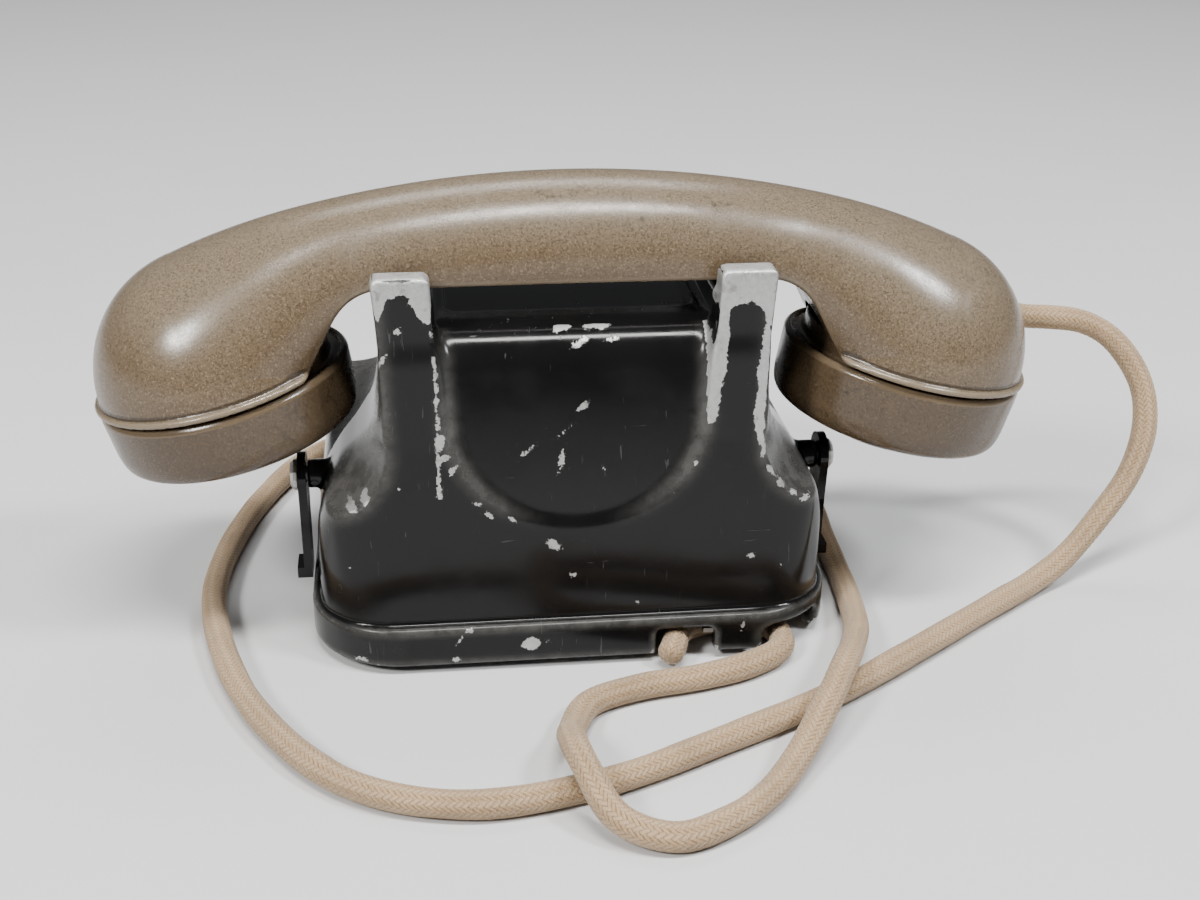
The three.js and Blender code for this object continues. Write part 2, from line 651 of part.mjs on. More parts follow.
// ---------------------------------------------------------------- cord
const CORD_PATH = [
  [123.5, 23.2, 69.5], [132, 24.5, 66.4], [140.5, 23.5, 66], [149, 22, 65.1], [156, 19, 62],
  [161.6, 15, 56], [165, 10, 48], [164.7, 5, 38], [159.8, 0, 27], [151, -4, 16], [140, -9, 6],
  [128, -15.5, LYING], [117, -23.4, LYING], [81, -49.5, LYING], [62, -62.5, LYING],
  [29, -80, LYING], [-1, -93.4, LYING], [-31, -98, LYING], [-57, -88, LYING], [-80.5, -56, LYING],
  [-94, -13, LYING], [-95.4, 14, LYING], [-87, 57, LYING], [-72, 88, LYING], [-44, 109, LYING],
  [0, 113.5, LYING], [46, 107, LYING], [72, 84, LYING], [79, 50, LYING], [77.5, 15, LYING],
  [76.2, -15, LYING], [73, -36, LYING + 2.5], [67.5, -52, LYING + 6], [62, -64, LYING + 8],
  [55, -76, LYING + 6], [45, -90, LYING + 1.5], [36, -101, LYING], [26, -109, LYING],
  [13, -113.8, LYING], [1, -108.5, LYING + 2], [-5, -97, LYING + 8], [-6.5, -84, LYING + 6],
  [-5.6, -74, LYING + 1], [0, -61.5, LYING], [13.3, -55.5, LYING], [28.8, -52.6, LYING],
  [42.4, -48, LYING], [52, -41, LYING], [52.5, -32.5, LYING], [45.5, -26, LYING],
  [37.5, -26, LYING], [30, -29, LYING + 0.2], [25.8, -35, LYING + 1.8], [24.2, -39.8, LYING + 1.2],
  [21.8, -44.2, LYING + 0.2],
];

function cord() {
  const curve = new THREE.CatmullRomCurve3(CORD_PATH.map(([x, y, z]) => new THREE.Vector3(x, y, z)));
  const section = new THREE.Shape();
  section.absellipse(0, 0, CORD_RADIUS, CORD_RADIUS, 0, Math.PI * 2, false);
  const geometry = new THREE.ExtrudeGeometry(section, {
    steps: 120, curveSegments: 4, bevelEnabled: false, extrudePath: curve,
  });
  return mesh('handset_cord', geometry, braid());
}

// Bent tongue that hangs under the base plate and reaches out through the notch beside the cord.
function cordClip() {
  const [x0, x1] = [32, 34.6];
  const blade = box(x0, x1, -38.4, -31, 6, 7.2);
  const riser = box(x0, x1, -32.4, -31, 6, PLATE.bottom - GAP);
  return mesh('cord_clip', join(blade, riser), steel());
}

// ---------------------------------------------------------------- assembly
const telephone = new THREE.Group();
telephone.position.y = -TRAY_Y;
telephone.add(housing(), basePlate(), ...feet(), ...baseScrews(), dial(), handset(), cord(), cordClip());
for (const side of [-1, 1]) {
  telephone.add(latch(side), latchScrew(side), plunger(side), gong(side), gongPost(side), coil(side));
}
telephone.add(hookYoke(), hookPin(), hookBracket(), contactSprings());
telephone.add(ringerYoke(), ringerMagnet(), clapper(), clapperPivot());
telephone.add(inductionCoil(), capacitor(), terminalStrip());

export default telephone;
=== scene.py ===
import json
import math

import bmesh
import bpy
import numpy as np
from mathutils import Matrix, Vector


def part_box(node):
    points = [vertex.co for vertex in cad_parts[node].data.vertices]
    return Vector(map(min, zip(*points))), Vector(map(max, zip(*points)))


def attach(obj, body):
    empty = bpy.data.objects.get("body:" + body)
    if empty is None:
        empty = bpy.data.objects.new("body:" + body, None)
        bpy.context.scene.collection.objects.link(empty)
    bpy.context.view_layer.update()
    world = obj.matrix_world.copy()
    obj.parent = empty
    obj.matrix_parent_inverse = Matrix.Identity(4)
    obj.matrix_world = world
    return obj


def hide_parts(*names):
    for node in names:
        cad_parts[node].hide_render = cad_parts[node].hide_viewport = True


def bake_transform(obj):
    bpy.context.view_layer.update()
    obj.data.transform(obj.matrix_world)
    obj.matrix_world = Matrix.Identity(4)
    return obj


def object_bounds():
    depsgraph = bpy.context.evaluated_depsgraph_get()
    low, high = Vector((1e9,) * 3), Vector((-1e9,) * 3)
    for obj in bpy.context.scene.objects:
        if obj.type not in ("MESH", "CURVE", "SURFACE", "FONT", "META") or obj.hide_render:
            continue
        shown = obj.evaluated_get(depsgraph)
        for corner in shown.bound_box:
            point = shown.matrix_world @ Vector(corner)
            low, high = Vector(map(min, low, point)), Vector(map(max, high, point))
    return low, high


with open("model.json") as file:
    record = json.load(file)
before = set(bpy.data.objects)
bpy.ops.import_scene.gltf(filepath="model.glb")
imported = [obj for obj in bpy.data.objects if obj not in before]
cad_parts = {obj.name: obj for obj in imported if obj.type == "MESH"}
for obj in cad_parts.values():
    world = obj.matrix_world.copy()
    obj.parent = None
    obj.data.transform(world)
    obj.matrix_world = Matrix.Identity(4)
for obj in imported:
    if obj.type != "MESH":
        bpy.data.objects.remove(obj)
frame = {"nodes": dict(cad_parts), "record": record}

import openvdb
from mathutils import Matrix, Vector

CAD_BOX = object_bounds()
MM = 0.001
AXIS_Y = sum(corner.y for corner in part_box("handset_shell")) / 2 / MM   # handset axis, frame mm
FLOOR = CAD_BOX[0].z / MM
BODY = Matrix.Translation((0, AXIS_Y * MM, 0))
WALL = 3.0


# ---------------- small field toolbox
def smooth_min(a, b, k):
    """The lower of two distances, blended where they differ by less than k."""
    h = np.clip(0.5 + 0.5 * (b - a) / k, 0, 1)
    return b + (a - b) * h - k * h * (1 - h)


def smooth_max(a, b, k):
    return -smooth_min(-a, -b, k)


def smooth_all(parts, k):
    """What all the parts have in common, with edges rounded over k."""
    whole = parts[0]
    for part in parts[1:]:
        whole = smooth_max(whole, part, k)
    return whole


def soft_hypot(a, b, soft=1e-9):
    """Length of (a, b), kept smooth where it comes to nothing."""
    return np.sqrt(a ** 2 + b ** 2 + soft)


def curve(t, knots, values):
    """Smooth curve through the given points, with slopes that keep it from overshooting."""
    knots = np.asarray(knots, float)
    values = np.asarray(values, float)
    secant = np.diff(values) / np.diff(knots)
    slope = np.concatenate([[secant[0]], (secant[1:] + secant[:-1]) / 2, [secant[-1]]])
    flat = np.concatenate([[False], secant[1:] * secant[:-1] <= 0, [False]])
    slope[flat] = 0
    t = np.clip(t, knots[0], knots[-1])
    i = np.clip(np.searchsorted(knots, t, side="right") - 1, 0, len(knots) - 2)
    span = knots[i + 1] - knots[i]
    s = (t - knots[i]) / span
    rise = s * s * (3 - 2 * s)
    return (
        values[i] * (1 - rise) + values[i + 1] * rise
        + span * s * (1 - s) * (slope[i] * (1 - s) - slope[i + 1] * s)
    )


def rounded_box(u, v, half_u, half_v, radius):
    """2-D distance to a rectangle with round corners, centred on the origin."""
    du = np.abs(u) - half_u + radius
    dv = np.abs(v) - half_v + radius
    outside = np.sqrt(np.maximum(du, 0) ** 2 + np.maximum(dv, 0) ** 2)
    return outside + np.minimum(np.maximum(du, dv), 0) - radius


def mesh_of_field(name, field, low, high, step, place=None):
    """The surface where field(x, y, z) is zero, as a fine mesh in the frame's metres."""
    axes = [np.arange(a - 2 * step, b + 2.5 * step, step, dtype=np.float32) for a, b in zip(low, high)]
    x, y, z = np.meshgrid(*axes, indexing="ij", sparse=True)
    values = np.broadcast_to(field(x, y, z), [len(a) for a in axes]).astype(np.float32)
    grid = openvdb.FloatGrid(float(3 * step))
    grid.copyFromArray(np.ascontiguousarray(values))
    points, quads = grid.convertToQuads(0.0)
    start = np.array([a[0] for a in axes])
    points = points.astype(np.float64) * step + start
    for _ in range(3):
        gradient, value = slope_of(field, points, step * 0.1)
        length2 = np.maximum((gradient ** 2).sum(1), 0.05)
        shift = np.clip(-value / length2, -step * 0.6, step * 0.6)
        points += gradient * shift[:, None]
    mesh = bpy.data.meshes.new(name)
    mesh.from_pydata((points * MM).tolist(), [], quads.tolist())
    mesh.validate()
    mesh.transform(place or BODY)
    mesh.update()
    obj = add_object(name, mesh)
    face_outwards(obj)
    shade_smooth(obj)
    return obj, points


def slope_of(field, points, reach):
    """(gradient of the field, its value) at each point."""
    x, y, z = points.T
    gradient = np.stack([
        field(x + reach, y, z) - field(x - reach, y, z),
        field(x, y + reach, z) - field(x, y - reach, z),
        field(x, y, z + reach) - field(x, y, z - reach),
    ], 1) / (2 * reach)
    return gradient, field(x, y, z)


def convexity(field, points, reach):
    """Positive on edges that stand out, negative in corners, near zero on flat faces."""
    x, y, z = points.T
    around = (
        field(x + reach, y, z) + field(x - reach, y, z) + field(x, y + reach, z)
        + field(x, y - reach, z) + field(x, y, z + reach) + field(x, y, z - reach)
    )
    return (around - 6 * field(x, y, z)) / reach


def add_object(name, mesh):
    obj = bpy.data.objects.new(name, mesh)
    bpy.context.scene.collection.objects.link(obj)
    return obj


def shade_smooth(obj, angle=None):
    obj.data.polygons.foreach_set("use_smooth", [True] * len(obj.data.polygons))
    if angle is not None:
        obj.data.set_sharp_from_angle(angle=math.radians(angle))


def face_outwards(obj):
    bm = bmesh.new()
    bm.from_mesh(obj.data)
    bmesh.ops.recalc_face_normals(bm, faces=bm.faces)
    if bm.calc_volume(signed=True) < 0:
        bmesh.ops.reverse_faces(bm, faces=bm.faces)
    bm.to_mesh(obj.data)
    bm.free()


def set_attribute(obj, name, values):
    layer = obj.data.attributes.new(name, "FLOAT", "POINT")
    layer.data.foreach_set("value", np.asarray(values, np.float32))


# ---------------- housing
PLATFORM = 85.5
SKIRT = {"half": 66.7, "near": -38.0, "far": 95.5, "corner": 22.5}
FLANGE = {"half": 68.0, "near": -39.5, "far": 97.0, "corner": 24.0, "bottom": 0.5, "top": 11.5}
DIAL_Y, DIAL_Z = 59.5, 55.5
PLUNGER_X = 40.5
LATCH_Y, LATCH_Z = -1.0, 38.0
LATCH_BOSS = {"radius": 3.8, "inner": 60.0, "outer": 68.1, "bore": 2.3, "bore_inner": 61.0}
SCOOP = {"edge": 46.6, "bottom": 39.6, "radius": 18.0, "near_lean": 0.42, "far_lean": 0.15}
RECESS = {"half": 32.8, "bend": 64.2, "drop": 28.2, "scale": 29.5, "wall": -34.7, "lean": math.radians(11)}
PRONG = {"middle": 59.85, "half": 40.0, "root": 60.0, "back": 21.2}
SADDLE = {"inner": 34.5, "outer": 47.0, "half": 24.0, "bottom": 83.2, "top": 93.0}
TROUGH = {"half": 31.0, "middle": 7.0, "reach": 17.0, "floor": 84.3, "sag": 0.5}
NOTCH = {"x": 27.25, "half": 7.75, "height": 14.2, "back": -30.0}
SIDE_NOTCH = {"x": 54.0, "y": -32.0, "half": 9.5, "height": 13.4, "turn": math.radians(40)}
SPINDLE_HOLE = {"radius": 31.0, "middle": -1.0, "half": 13.0}
PLUNGER_BORES = ((3.3, 70.0, 102.0), (4.4, 66.0, 80.0))   # (radius, from, to)
BOSSES = [(-55.5, -25.5), (55.5, -25.5), (-55.5, 83.0), (55.5, 83.0)]


def plan(x, y, outline):
    """Distance from a round-cornered outline seen from above."""
    middle = (outline["near"] + outline["far"]) / 2
    half_depth = (outline["far"] - outline["near"]) / 2
    return rounded_box(x, y - middle, outline["half"], half_depth, outline["corner"])


def near_face(z):
    """Y of the leaning wall with the finger recess, at each height."""
    return curve(z, [-8, 12, 39, 66, 85.5, 104], [-38, -37.6, -34.3, -30.4, -28.6, -27.6])


def scoops(x, y, z):
    """Distance into the leaf-shaped hollows under the caps, negative inside them."""
    radius, near_lean, far_lean = SCOOP["radius"], SCOOP["near_lean"], SCOOP["far_lean"]
    beside = np.abs(x) - SCOOP["edge"]
    sink = z - SCOOP["bottom"]

    def hollow(out):
        a, b = radius - out, radius - sink
        corner = np.sqrt(np.maximum(a, 0) ** 2 + np.maximum(b, 0) ** 2)
        return corner + np.minimum(np.maximum(a, b), 0) - radius

    near = hollow((beside - near_lean * (y + 32)) / math.hypot(1, near_lean))
    far = hollow((beside + far_lean * (y - 34)) / math.hypot(1, far_lean))
    return near, np.where(y > 5, far, radius)


def recess_outline(x, z):
    """Distance from the recess's edge: straight sides above the bend, half an ellipse below it."""
    half, bend = RECESS["half"], RECESS["bend"]
    below = (soft_hypot(x / half, (z - bend) / RECESS["drop"], 1e-6) - 1) * RECESS["scale"]
    return np.where(z < bend, below, np.abs(x) - half)


def recess(x, y, z):
    """The finger recess, negative inside: a tongue-shaped outline in front of a leaning plane."""
    plane = y - RECESS["wall"] - math.tan(RECESS["lean"]) * (z - 36)
    return smooth_max(recess_outline(x, z), plane * 0.98, 5.0)


def envelope(x, y, z):
    """The casting without its prongs, flange and openings, open at the bottom."""
    side = curve(z, [-8, 12, 31, 38, 46, 53, 59.5, 67, 77, 92],
                 [66.8, 66.5, 66, 64, 59.6, 54.4, 50.6, 48.3, 47.4, 47.2])
    lean = np.sqrt(1 + (curve(z, [30, 38, 50, 60, 70], [0, 0.45, 0.72, 0.45, 0.05])) ** 2)
    sides = (np.abs(x) - side) / lean
    near = near_face(z) - y
    slope = ((y - 31) + (z - 84)) / math.sqrt(2)
    far = (y - curve(z, [-8, 0.5, 12, 20, 30, 60], [95.9, 95.5, 94.6, 92.6, 89.5, 80])) * 0.98
    back = smooth_max(slope, far, 7)
    walls = smooth_all([plan(x, y, SKIRT), sides], 4)
    body = smooth_all([walls, near, back], 4.5)
    near_scoop, far_scoop = scoops(x, y, z)
    body = smooth_max(body, -near_scoop, 1.2)
    body = smooth_max(body, -far_scoop, 1.6)
    body = smooth_max(body, -recess(x, y, z), 2.0)
    return smooth_max(body, z - PLATFORM, 10.0)


def prong_inner(z):
    """X of a prong's inner edge, at each height."""
    return curve(z, [58, 76, 88, 101], [32.8, 33.6, 34.3, 35])


def prongs(x, y, z):
    """Four posts with a flat top and a crisp front face whose upper corners are rounded."""
    across, along = np.abs(x), np.abs(y)
    inner = prong_inner(z)
    outer = curve(z, [58, 76, 88, 101], [46.2, 47.2, 48, 49.1])
    middle, half = (inner + outer) / 2, (outer - inner) / 2
    face = curve(z, [58, 66, 76, 88, 96, 101], [30.6, 30.3, 29.6, 28.7, 28.2, 27.6])
    outline = rounded_box(across - middle, z - PRONG["middle"], half, PRONG["half"], 1.7)
    return smooth_all([outline, along - face, PRONG["back"] - along, PRONG["root"] - z], 1.1)


def saddles(x, y, z):
    """A raised block on each side of the platform, between its two prongs."""
    across = np.abs(x)
    sides = [SADDLE["inner"] - across, across - SADDLE["outer"], np.abs(y) - SADDLE["half"]]
    return smooth_all(sides + [z - SADDLE["top"], SADDLE["bottom"] - z], 1.6)


def dial_place(x, y, z):
    """(distance from the dial's spindle, height above the dial's seat)."""
    along = ((z - DIAL_Z) - (y - DIAL_Y)) / math.sqrt(2)
    return soft_hypot(x, along), ((z - DIAL_Z) + (y - DIAL_Y)) / math.sqrt(2)


def post(x, y, z, spot, radius, bottom, top):
    """An upright round post at the spot (x, y)."""
    around = soft_hypot(x - spot[0], y - spot[1]) - radius
    return np.maximum(around, np.maximum(bottom - z, z - top))


def trough(x, y, z):
    """Room for fingers under the grip, deepest along the middle of the platform."""
    half = TROUGH["half"]
    floor = TROUGH["floor"] - TROUGH["sag"] * (1 - (x / half) ** 2)
    outline = rounded_box(x, y - TROUGH["middle"], half, TROUGH["reach"], 3)
    return np.maximum(outline, np.maximum(floor - z, z - 92))


def cord_notches(x, y, z):
    """Notches in the casting's lower edge: one in the near wall, one across the near right corner."""
    notch = rounded_box(x - NOTCH["x"], z + 6, NOTCH["half"], NOTCH["height"], 2.2)
    out, back, turn = x - SIDE_NOTCH["x"], y - SIDE_NOTCH["y"], SIDE_NOTCH["turn"]
    across = out * math.cos(turn) + back * math.sin(turn)
    through = -out * math.sin(turn) + back * math.cos(turn)
    arch = rounded_box(across, z + 6, SIDE_NOTCH["half"], SIDE_NOTCH["height"], 3)
    return [np.maximum(notch, y - NOTCH["back"]), np.maximum(arch, np.abs(through) - 20)]


def openings(x, y, z):
    """Everything drilled or filed out of the casting, negative inside the openings."""
    from_spindle, above = dial_place(x, y, z)
    above = np.abs(above - SPINDLE_HOLE["middle"])
    tools = [np.maximum(from_spindle - SPINDLE_HOLE["radius"], above - SPINDLE_HOLE["half"])]
    tools += [trough(x, y, z)] + cord_notches(x, y, z)
    pivot = soft_hypot(y - LATCH_Y, z - LATCH_Z) - LATCH_BOSS["bore"]
    for side in (-1, 1):
        for radius, bottom, top in PLUNGER_BORES:
            tools.append(post(x, y, z, (side * PLUNGER_X, 0), radius, bottom, top))
        tools.append(np.maximum(pivot, LATCH_BOSS["bore_inner"] - side * x))
    for spot in BOSSES:
        tools.append(post(x, y, z, spot, 2.1, 5, 20))
    whole = tools[0]
    for tool in tools[1:]:
        whole = np.minimum(whole, tool)
    return whole


def latch_bosses(x, y, z):
    """Round bosses on both sides, which carry the latches' pivots."""
    rim = soft_hypot(y - LATCH_Y, z - LATCH_Z) - LATCH_BOSS["radius"]
    across = np.abs(x)
    return smooth_max(rim, smooth_max(across - LATCH_BOSS["outer"], LATCH_BOSS["inner"] - across, 0.4), 0.8)


def housing_field(x, y, z):
    """The whole casting."""
    env = envelope(x, y, z)
    outer = smooth_max(env, FLANGE["bottom"] - z, 1.0)
    flange = smooth_all([plan(x, y, FLANGE), z - FLANGE["top"], FLANGE["bottom"] - z], 1.8)
    outer = smooth_min(outer, flange, 0.9)
    shell = smooth_max(outer, -(env + WALL), 0.6)
    shell = smooth_min(shell, prongs(x, y, z), 2.6)
    shell = smooth_min(shell, saddles(x, y, z), 2.2)
    shell = smooth_min(shell, latch_bosses(x, y, z), 1.5)
    for spot in BOSSES:
        shell = np.minimum(shell, post(x, y, z, spot, 6, 10.3, 24))
    return smooth_max(shell, -openings(x, y, z), 0.7)


# Paint chips on the back: (x, z, half length, half width, turn in degrees), in millimetres.
CHIPS = [
    (-3, 84.5, 2.0, 0.9, 10), (5.5, 84.5, 2.6, 0.6, 0), (1, 81.5, 2.4, 0.7, 20), (9, 82, 1.4, 0.5, 5),
    (-4, 54, 2.6, 0.6, 80), (-4.5, 51, 1.3, 0.4, 60), (-3, 60.5, 2.4, 0.3, 35),
    (1.5, 66.5, 1.4, 0.8, 40), (-6.5, 32, 1.9, 1.0, -35), (-1.5, 23.5, 0.8, 0.6, 0),
    (6.5, 51, 0.5, 0.5, 0), (-13, 55.5, 1.6, 0.25, 40), (-33.5, 59.5, 2.2, 1.0, 80),
    (-32.5, 55.5, 1.1, 0.8, 0), (-31, 52, 1.3, 0.8, 50), (-25, 43.5, 0.8, 0.6, 0),
    (-22.5, 40.5, 1.5, 0.7, -30), (-16.5, 39, 1.1, 0.6, -20), (29.5, 51.5, 0.6, 0.5, 0),
    (24, 44, 0.5, 0.3, 0), (-56, 42.5, 1.3, 0.8, 30), (-52.5, 45, 1.3, 0.9, 60),
    (46.5, 54, 1.5, 0.6, 80), (48.5, 49, 1.5, 0.6, -50), (51, 45.5, 1.2, 0.6, -50),
    (54.5, 42.5, 1.1, 0.5, -30), (58, 40.5, 1.5, 0.6, -10), (-12.5, 6, 2.4, 1.9, 25),
    (-8, 6.5, 0.8, 0.4, 0), (-30, 9, 1.9, 0.5, 65), (-28, 10.5, 1.4, 0.4, 0),
    (-31.5, 2.5, 1.2, 0.8, 10), (42, 8.5, 1.9, 0.5, 75), (44, 26.5, 0.9, 0.5, 0),
    (-55, 2.4, 1.4, 0.6, 0), (-57, 27, 0.5, 0.4, 0), (52, 23, 0.5, 0.4, 0), (-44, 48, 0.4, 0.3, 0),
    (15, 15, 0.4, 0.3, 0), (-42.5, 87.5, 1.2, 0.8, 30), (-44, 96.4, 1.1, 0.8, 0),
    (-39.5, 94.6, 0.9, 0.6, 60), (-34.9, 86.5, 1.3, 0.5, 85), (41, 94.5, 1.0, 0.7, 0),
    (-46.6, 80.5, 2.0, 0.4, 60),
]


def chip_depth(x, z, chip):
    """Depth into one chip, negative outside it."""
    at_x, at_z, long, wide, turn = chip
    c, s = math.cos(math.radians(turn)), math.sin(math.radians(turn))
    u = ((x - at_x) * c + (z - at_z) * s) / long
    v = ((z - at_z) * c - (x - at_x) * s) / wide
    return (1 - np.sqrt(u * u + v * v)) * min(long, wide) * 1.2


def prong_wear(x, z):
    """Bare tips: the left one down to a ragged arch, the right one down both of its edges."""
    left_line = 89.3 + 7.0 * np.exp(-((x + 42.3) / 3.9) ** 4)
    left = (z - left_line) * 0.8
    left_strip = np.minimum(0.5 - np.abs(x + 34.2), (81.5 - z) * 0.5)
    width = curve(z, [60, 63, 68, 74, 82, 90, 92.5], [-2, 1.2, 1.8, 2.7, 3.0, 2.6, 6])
    inner_strip = prong_inner(z) + width - x
    outer_edge = curve(z, [44, 46, 50, 54, 58, 63, 68, 76, 88, 90],
                       [54, 51.5, 48.8, 47.3, 46.2, 45.6, 46, 47.2, 48.5, 49.1])
    width = curve(z, [46, 50, 58, 64, 70, 76, 82, 88, 92.5], [-0.6, 0.6, 1.4, 1.8, 1.9, 2.8, 2.3, 2.6, 6])
    outer_strip = np.minimum(x - outer_edge + width, outer_edge + 1.2 - x)
    right = np.maximum(np.maximum(inner_strip, outer_strip), (z - 92) * 0.8)
    return np.where(x < 0, np.maximum(left, left_strip), right)


def paint_wear(points):
    """Depth into the worn patches in millimetres, plus 3: sound paint is near 0, bare metal above 3."""
    x, y, z = points.T
    edge = np.clip(convexity(housing_field, points, 1.4), 0, 1.6)
    near = y < -20
    wear_and_painted_light = 0.8 * edge - 2.2
    rubbed = near & (z > 36) & (z < 66)
    wear_and_painted_light = np.where(rubbed, np.maximum(wear_and_painted_light, 1.1 * edge - 1.5), wear_and_painted_light)
    crease = (z > 9.5) & (z < 13)
    wear_and_painted_light = np.where(crease, np.maximum(wear_and_painted_light, 0.9 * edge - 1.5), wear_and_painted_light)
    wear_and_painted_light = np.where(z < 2.5, np.maximum(wear_and_painted_light, 1.1 * edge - 1.35), wear_and_painted_light)
    normal, _ = slope_of(housing_field, points, 0.6)
    turned_away = np.clip(0.8 + normal[:, 1], 0, 1) * 6
    posts = near & (z > 45) & (np.abs(x) > 32)
    line = np.clip(1 - np.abs(z - 99.5) / 0.5, 0, 1) * 4
    wear_and_painted_light = np.where(posts, np.maximum(wear_and_painted_light, prong_wear(x, z) - turned_away - line), wear_and_painted_light)
    top = (np.abs(y) > 19) & (z > 99.3) & (normal[:, 2] > 0.75)
    wear_and_painted_light = np.where(top, 0.9, wear_and_painted_light)
    far_tip = (y > 20) & (z > 85)
    wear_and_painted_light = np.where(far_tip, np.maximum(wear_and_painted_light, (z - 97.4) * 0.7), wear_and_painted_light)
    face = near & (normal[:, 1] < -0.15)
    for chip in CHIPS:
        wear_and_painted_light = np.where(face, np.maximum(wear_and_painted_light, chip_depth(x, z, chip)), wear_and_painted_light)
    return np.clip(wear_and_painted_light + 3, 0, 6)


def rubbed_haze_and_painted_sheen(points):
    """Bands along the wall of the finger recess and in the leaf-shaped scoops, made duller and painted
    lighter as a painted sheen, plus a thin light line on the low convex edges that is rubbed wear and
    painted sheen both.
    """
    x, y, z = points.T
    # Along the recess wall: a painted highlight band, where a cove would catch the light from above.
    band = np.exp(-((recess_outline(x, z) + 0.9) / 2.0) ** 2)
    band = band * np.clip((np.abs(x) - 7) / 12, 0, 1) * (y < -20)
    band = band * curve(z, [38, 44, 52, 64, 74, 83, 86], [0.3, 0.8, 1, 1, 0.6, 0.3, 0])
    # In the leaf-shaped scoops: a painted sheen.
    near_scoop, far_scoop = scoops(x, y, z)
    leaf = np.exp(-(np.minimum(near_scoop, far_scoop) / 2.0) ** 2) * 0.8
    # Low convex edges: a thin light line, rubbed wear and painted sheen both.
    edge = np.clip(convexity(housing_field, points, 1.4), 0, 1) * (z < 13)
    return np.clip(np.maximum(np.maximum(band, leaf), 1.1 * edge), 0, 1)


def make_housing(step):
    low = [-FLANGE["half"] - 0.5, FLANGE["near"], FLANGE["bottom"]]
    high = [FLANGE["half"] + 0.5, FLANGE["far"], 100]
    obj, points = mesh_of_field("housing_casting", housing_field, low, high, step)
    set_attribute(obj, "wear_and_painted_light", paint_wear(points))
    set_attribute(obj, "haze_and_painted_light", rubbed_haze_and_painted_sheen(points))
    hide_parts("housing")
    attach(obj, "root")
    return obj


# ---------------- handset
GRIP = {"top": 117.5, "radius": 18.5, "arch": 268.0, "flat": 94.2}
EAR = {"x": 89.0, "z": 67.6, "tilt": math.radians(13), "rim": 32.7, "cap": 32.2}
BULB = {"radius": 31.3, "height": 0.92, "bore": 28.1, "bore_top": 6.5}
BULB_PLANE = {"x": 88.9, "z": 68.5, "lean": math.radians(24.6)}   # the tube ends here, inside the bulb
SWELL = {"start": 0.20, "span": 0.159}                            # radians along the arch
DROOP = {"start": 0.21, "span": 0.25, "rate": 67.6}
INSIDE = {"x": 58.4, "z": 89.0, "splay": 0.51, "lean": math.radians(27)}
CAP_HEIGHT = {-1: 17.5, 1: 19.3}
HANDSET_X = sum(corner.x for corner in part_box("handset_shell")) / 2 / MM


def ear_place(x, y, z):
    """(distance from the cap's axis, height above the rim), for both ends at once."""
    along, up = np.abs(x) - EAR["x"], z - EAR["z"]
    c, s = math.cos(EAR["tilt"]), math.sin(EAR["tilt"])
    out = along * c - up * s
    height = along * s + up * c
    return soft_hypot(out, y), height


def handset_grip(x, y, z):
    """A tube about the arch whose girth and droop grow with the angle along it, up to the bulbs."""
    crown = GRIP["arch"] + GRIP["radius"]
    centre = GRIP["top"] - crown
    along = np.abs(x)
    angle = np.arctan2(along, z - centre)
    swell = np.clip((angle - SWELL["start"]) / SWELL["span"], 0, 1)
    girth = GRIP["radius"] + (BULB["radius"] - GRIP["radius"]) * swell * swell * (3 - 2 * swell)
    droop = DROOP["rate"] * np.clip(angle - DROOP["start"], 0, DROOP["span"]) ** 2
    ring = np.sqrt(x * x + (z - centre) ** 2) - crown + girth + droop
    lean = BULB_PLANE["lean"]
    past_bulb = (along - BULB_PLANE["x"]) * math.cos(lean) - (z - BULB_PLANE["z"]) * math.sin(lean)
    return np.maximum(soft_hypot(ring, y) - girth, past_bulb)


def handset_field(x, y, z):
    """Arched grip flowing into two domed ends, each with a thin lip above its cap."""
    x = x - HANDSET_X
    radius, height = ear_place(x, y, z)
    dome = soft_hypot(radius, height - BULB["height"], 1e-6) - BULB["radius"]
    body = np.minimum(handset_grip(x, y, z), dome)
    lip = smooth_max(radius - EAR["rim"], np.abs(height - 0.8) - 0.8, 0.7)
    body = smooth_min(body, lip, 0.9)
    near_ear = np.where(np.abs(x) > 50, -height, -20.0)
    body = smooth_max(body, near_ear, 0.5)
    splay = INSIDE["x"] + (INSIDE["z"] - z) * INSIDE["splay"]
    wall = (np.abs(x) - splay) * math.cos(INSIDE["lean"])
    under = smooth_max(z - GRIP["flat"], wall, 9)
    body = smooth_max(body, -under, 1.0)
    bore = np.maximum(radius - BULB["bore"], height - BULB["bore_top"])
    return smooth_max(body, -bore, 0.5)


def make_handset(step):
    low = [HANDSET_X - 123, -33.5, 60]
    high = [HANDSET_X + 123, 33.5, GRIP["top"]]
    obj, points = mesh_of_field("handset_body", handset_field, low, high, step)
    # Convexity of the surface: the material paints a highlight on convex edges and shade in hollows.
    set_attribute(obj, "wear_and_painted_light", np.clip(convexity(handset_field, points, 1.6), -1, 1.2))
    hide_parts("handset_shell")
    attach(obj, "handset")
    return obj


# ---------------- turned pieces
def rounded_profile(points, radius, steps=4):
    """Rounds the corners of an open outline of (radius, height) pairs."""
    out = [points[0]]
    for before, corner, after in zip(points, points[1:], points[2:]):
        a, p, b = Vector(before), Vector(corner), Vector(after)
        reach = min(radius, (a - p).length * 0.45, (b - p).length * 0.45)
        start, end = p + (a - p).normalized() * reach, p + (b - p).normalized() * reach
        for i in range(steps + 1):
            t = i / steps
            q = start * (1 - t) ** 2 + p * 2 * t * (1 - t) + end * t * t
            out.append((q.x, q.y))
    out.append(points[-1])
    return out


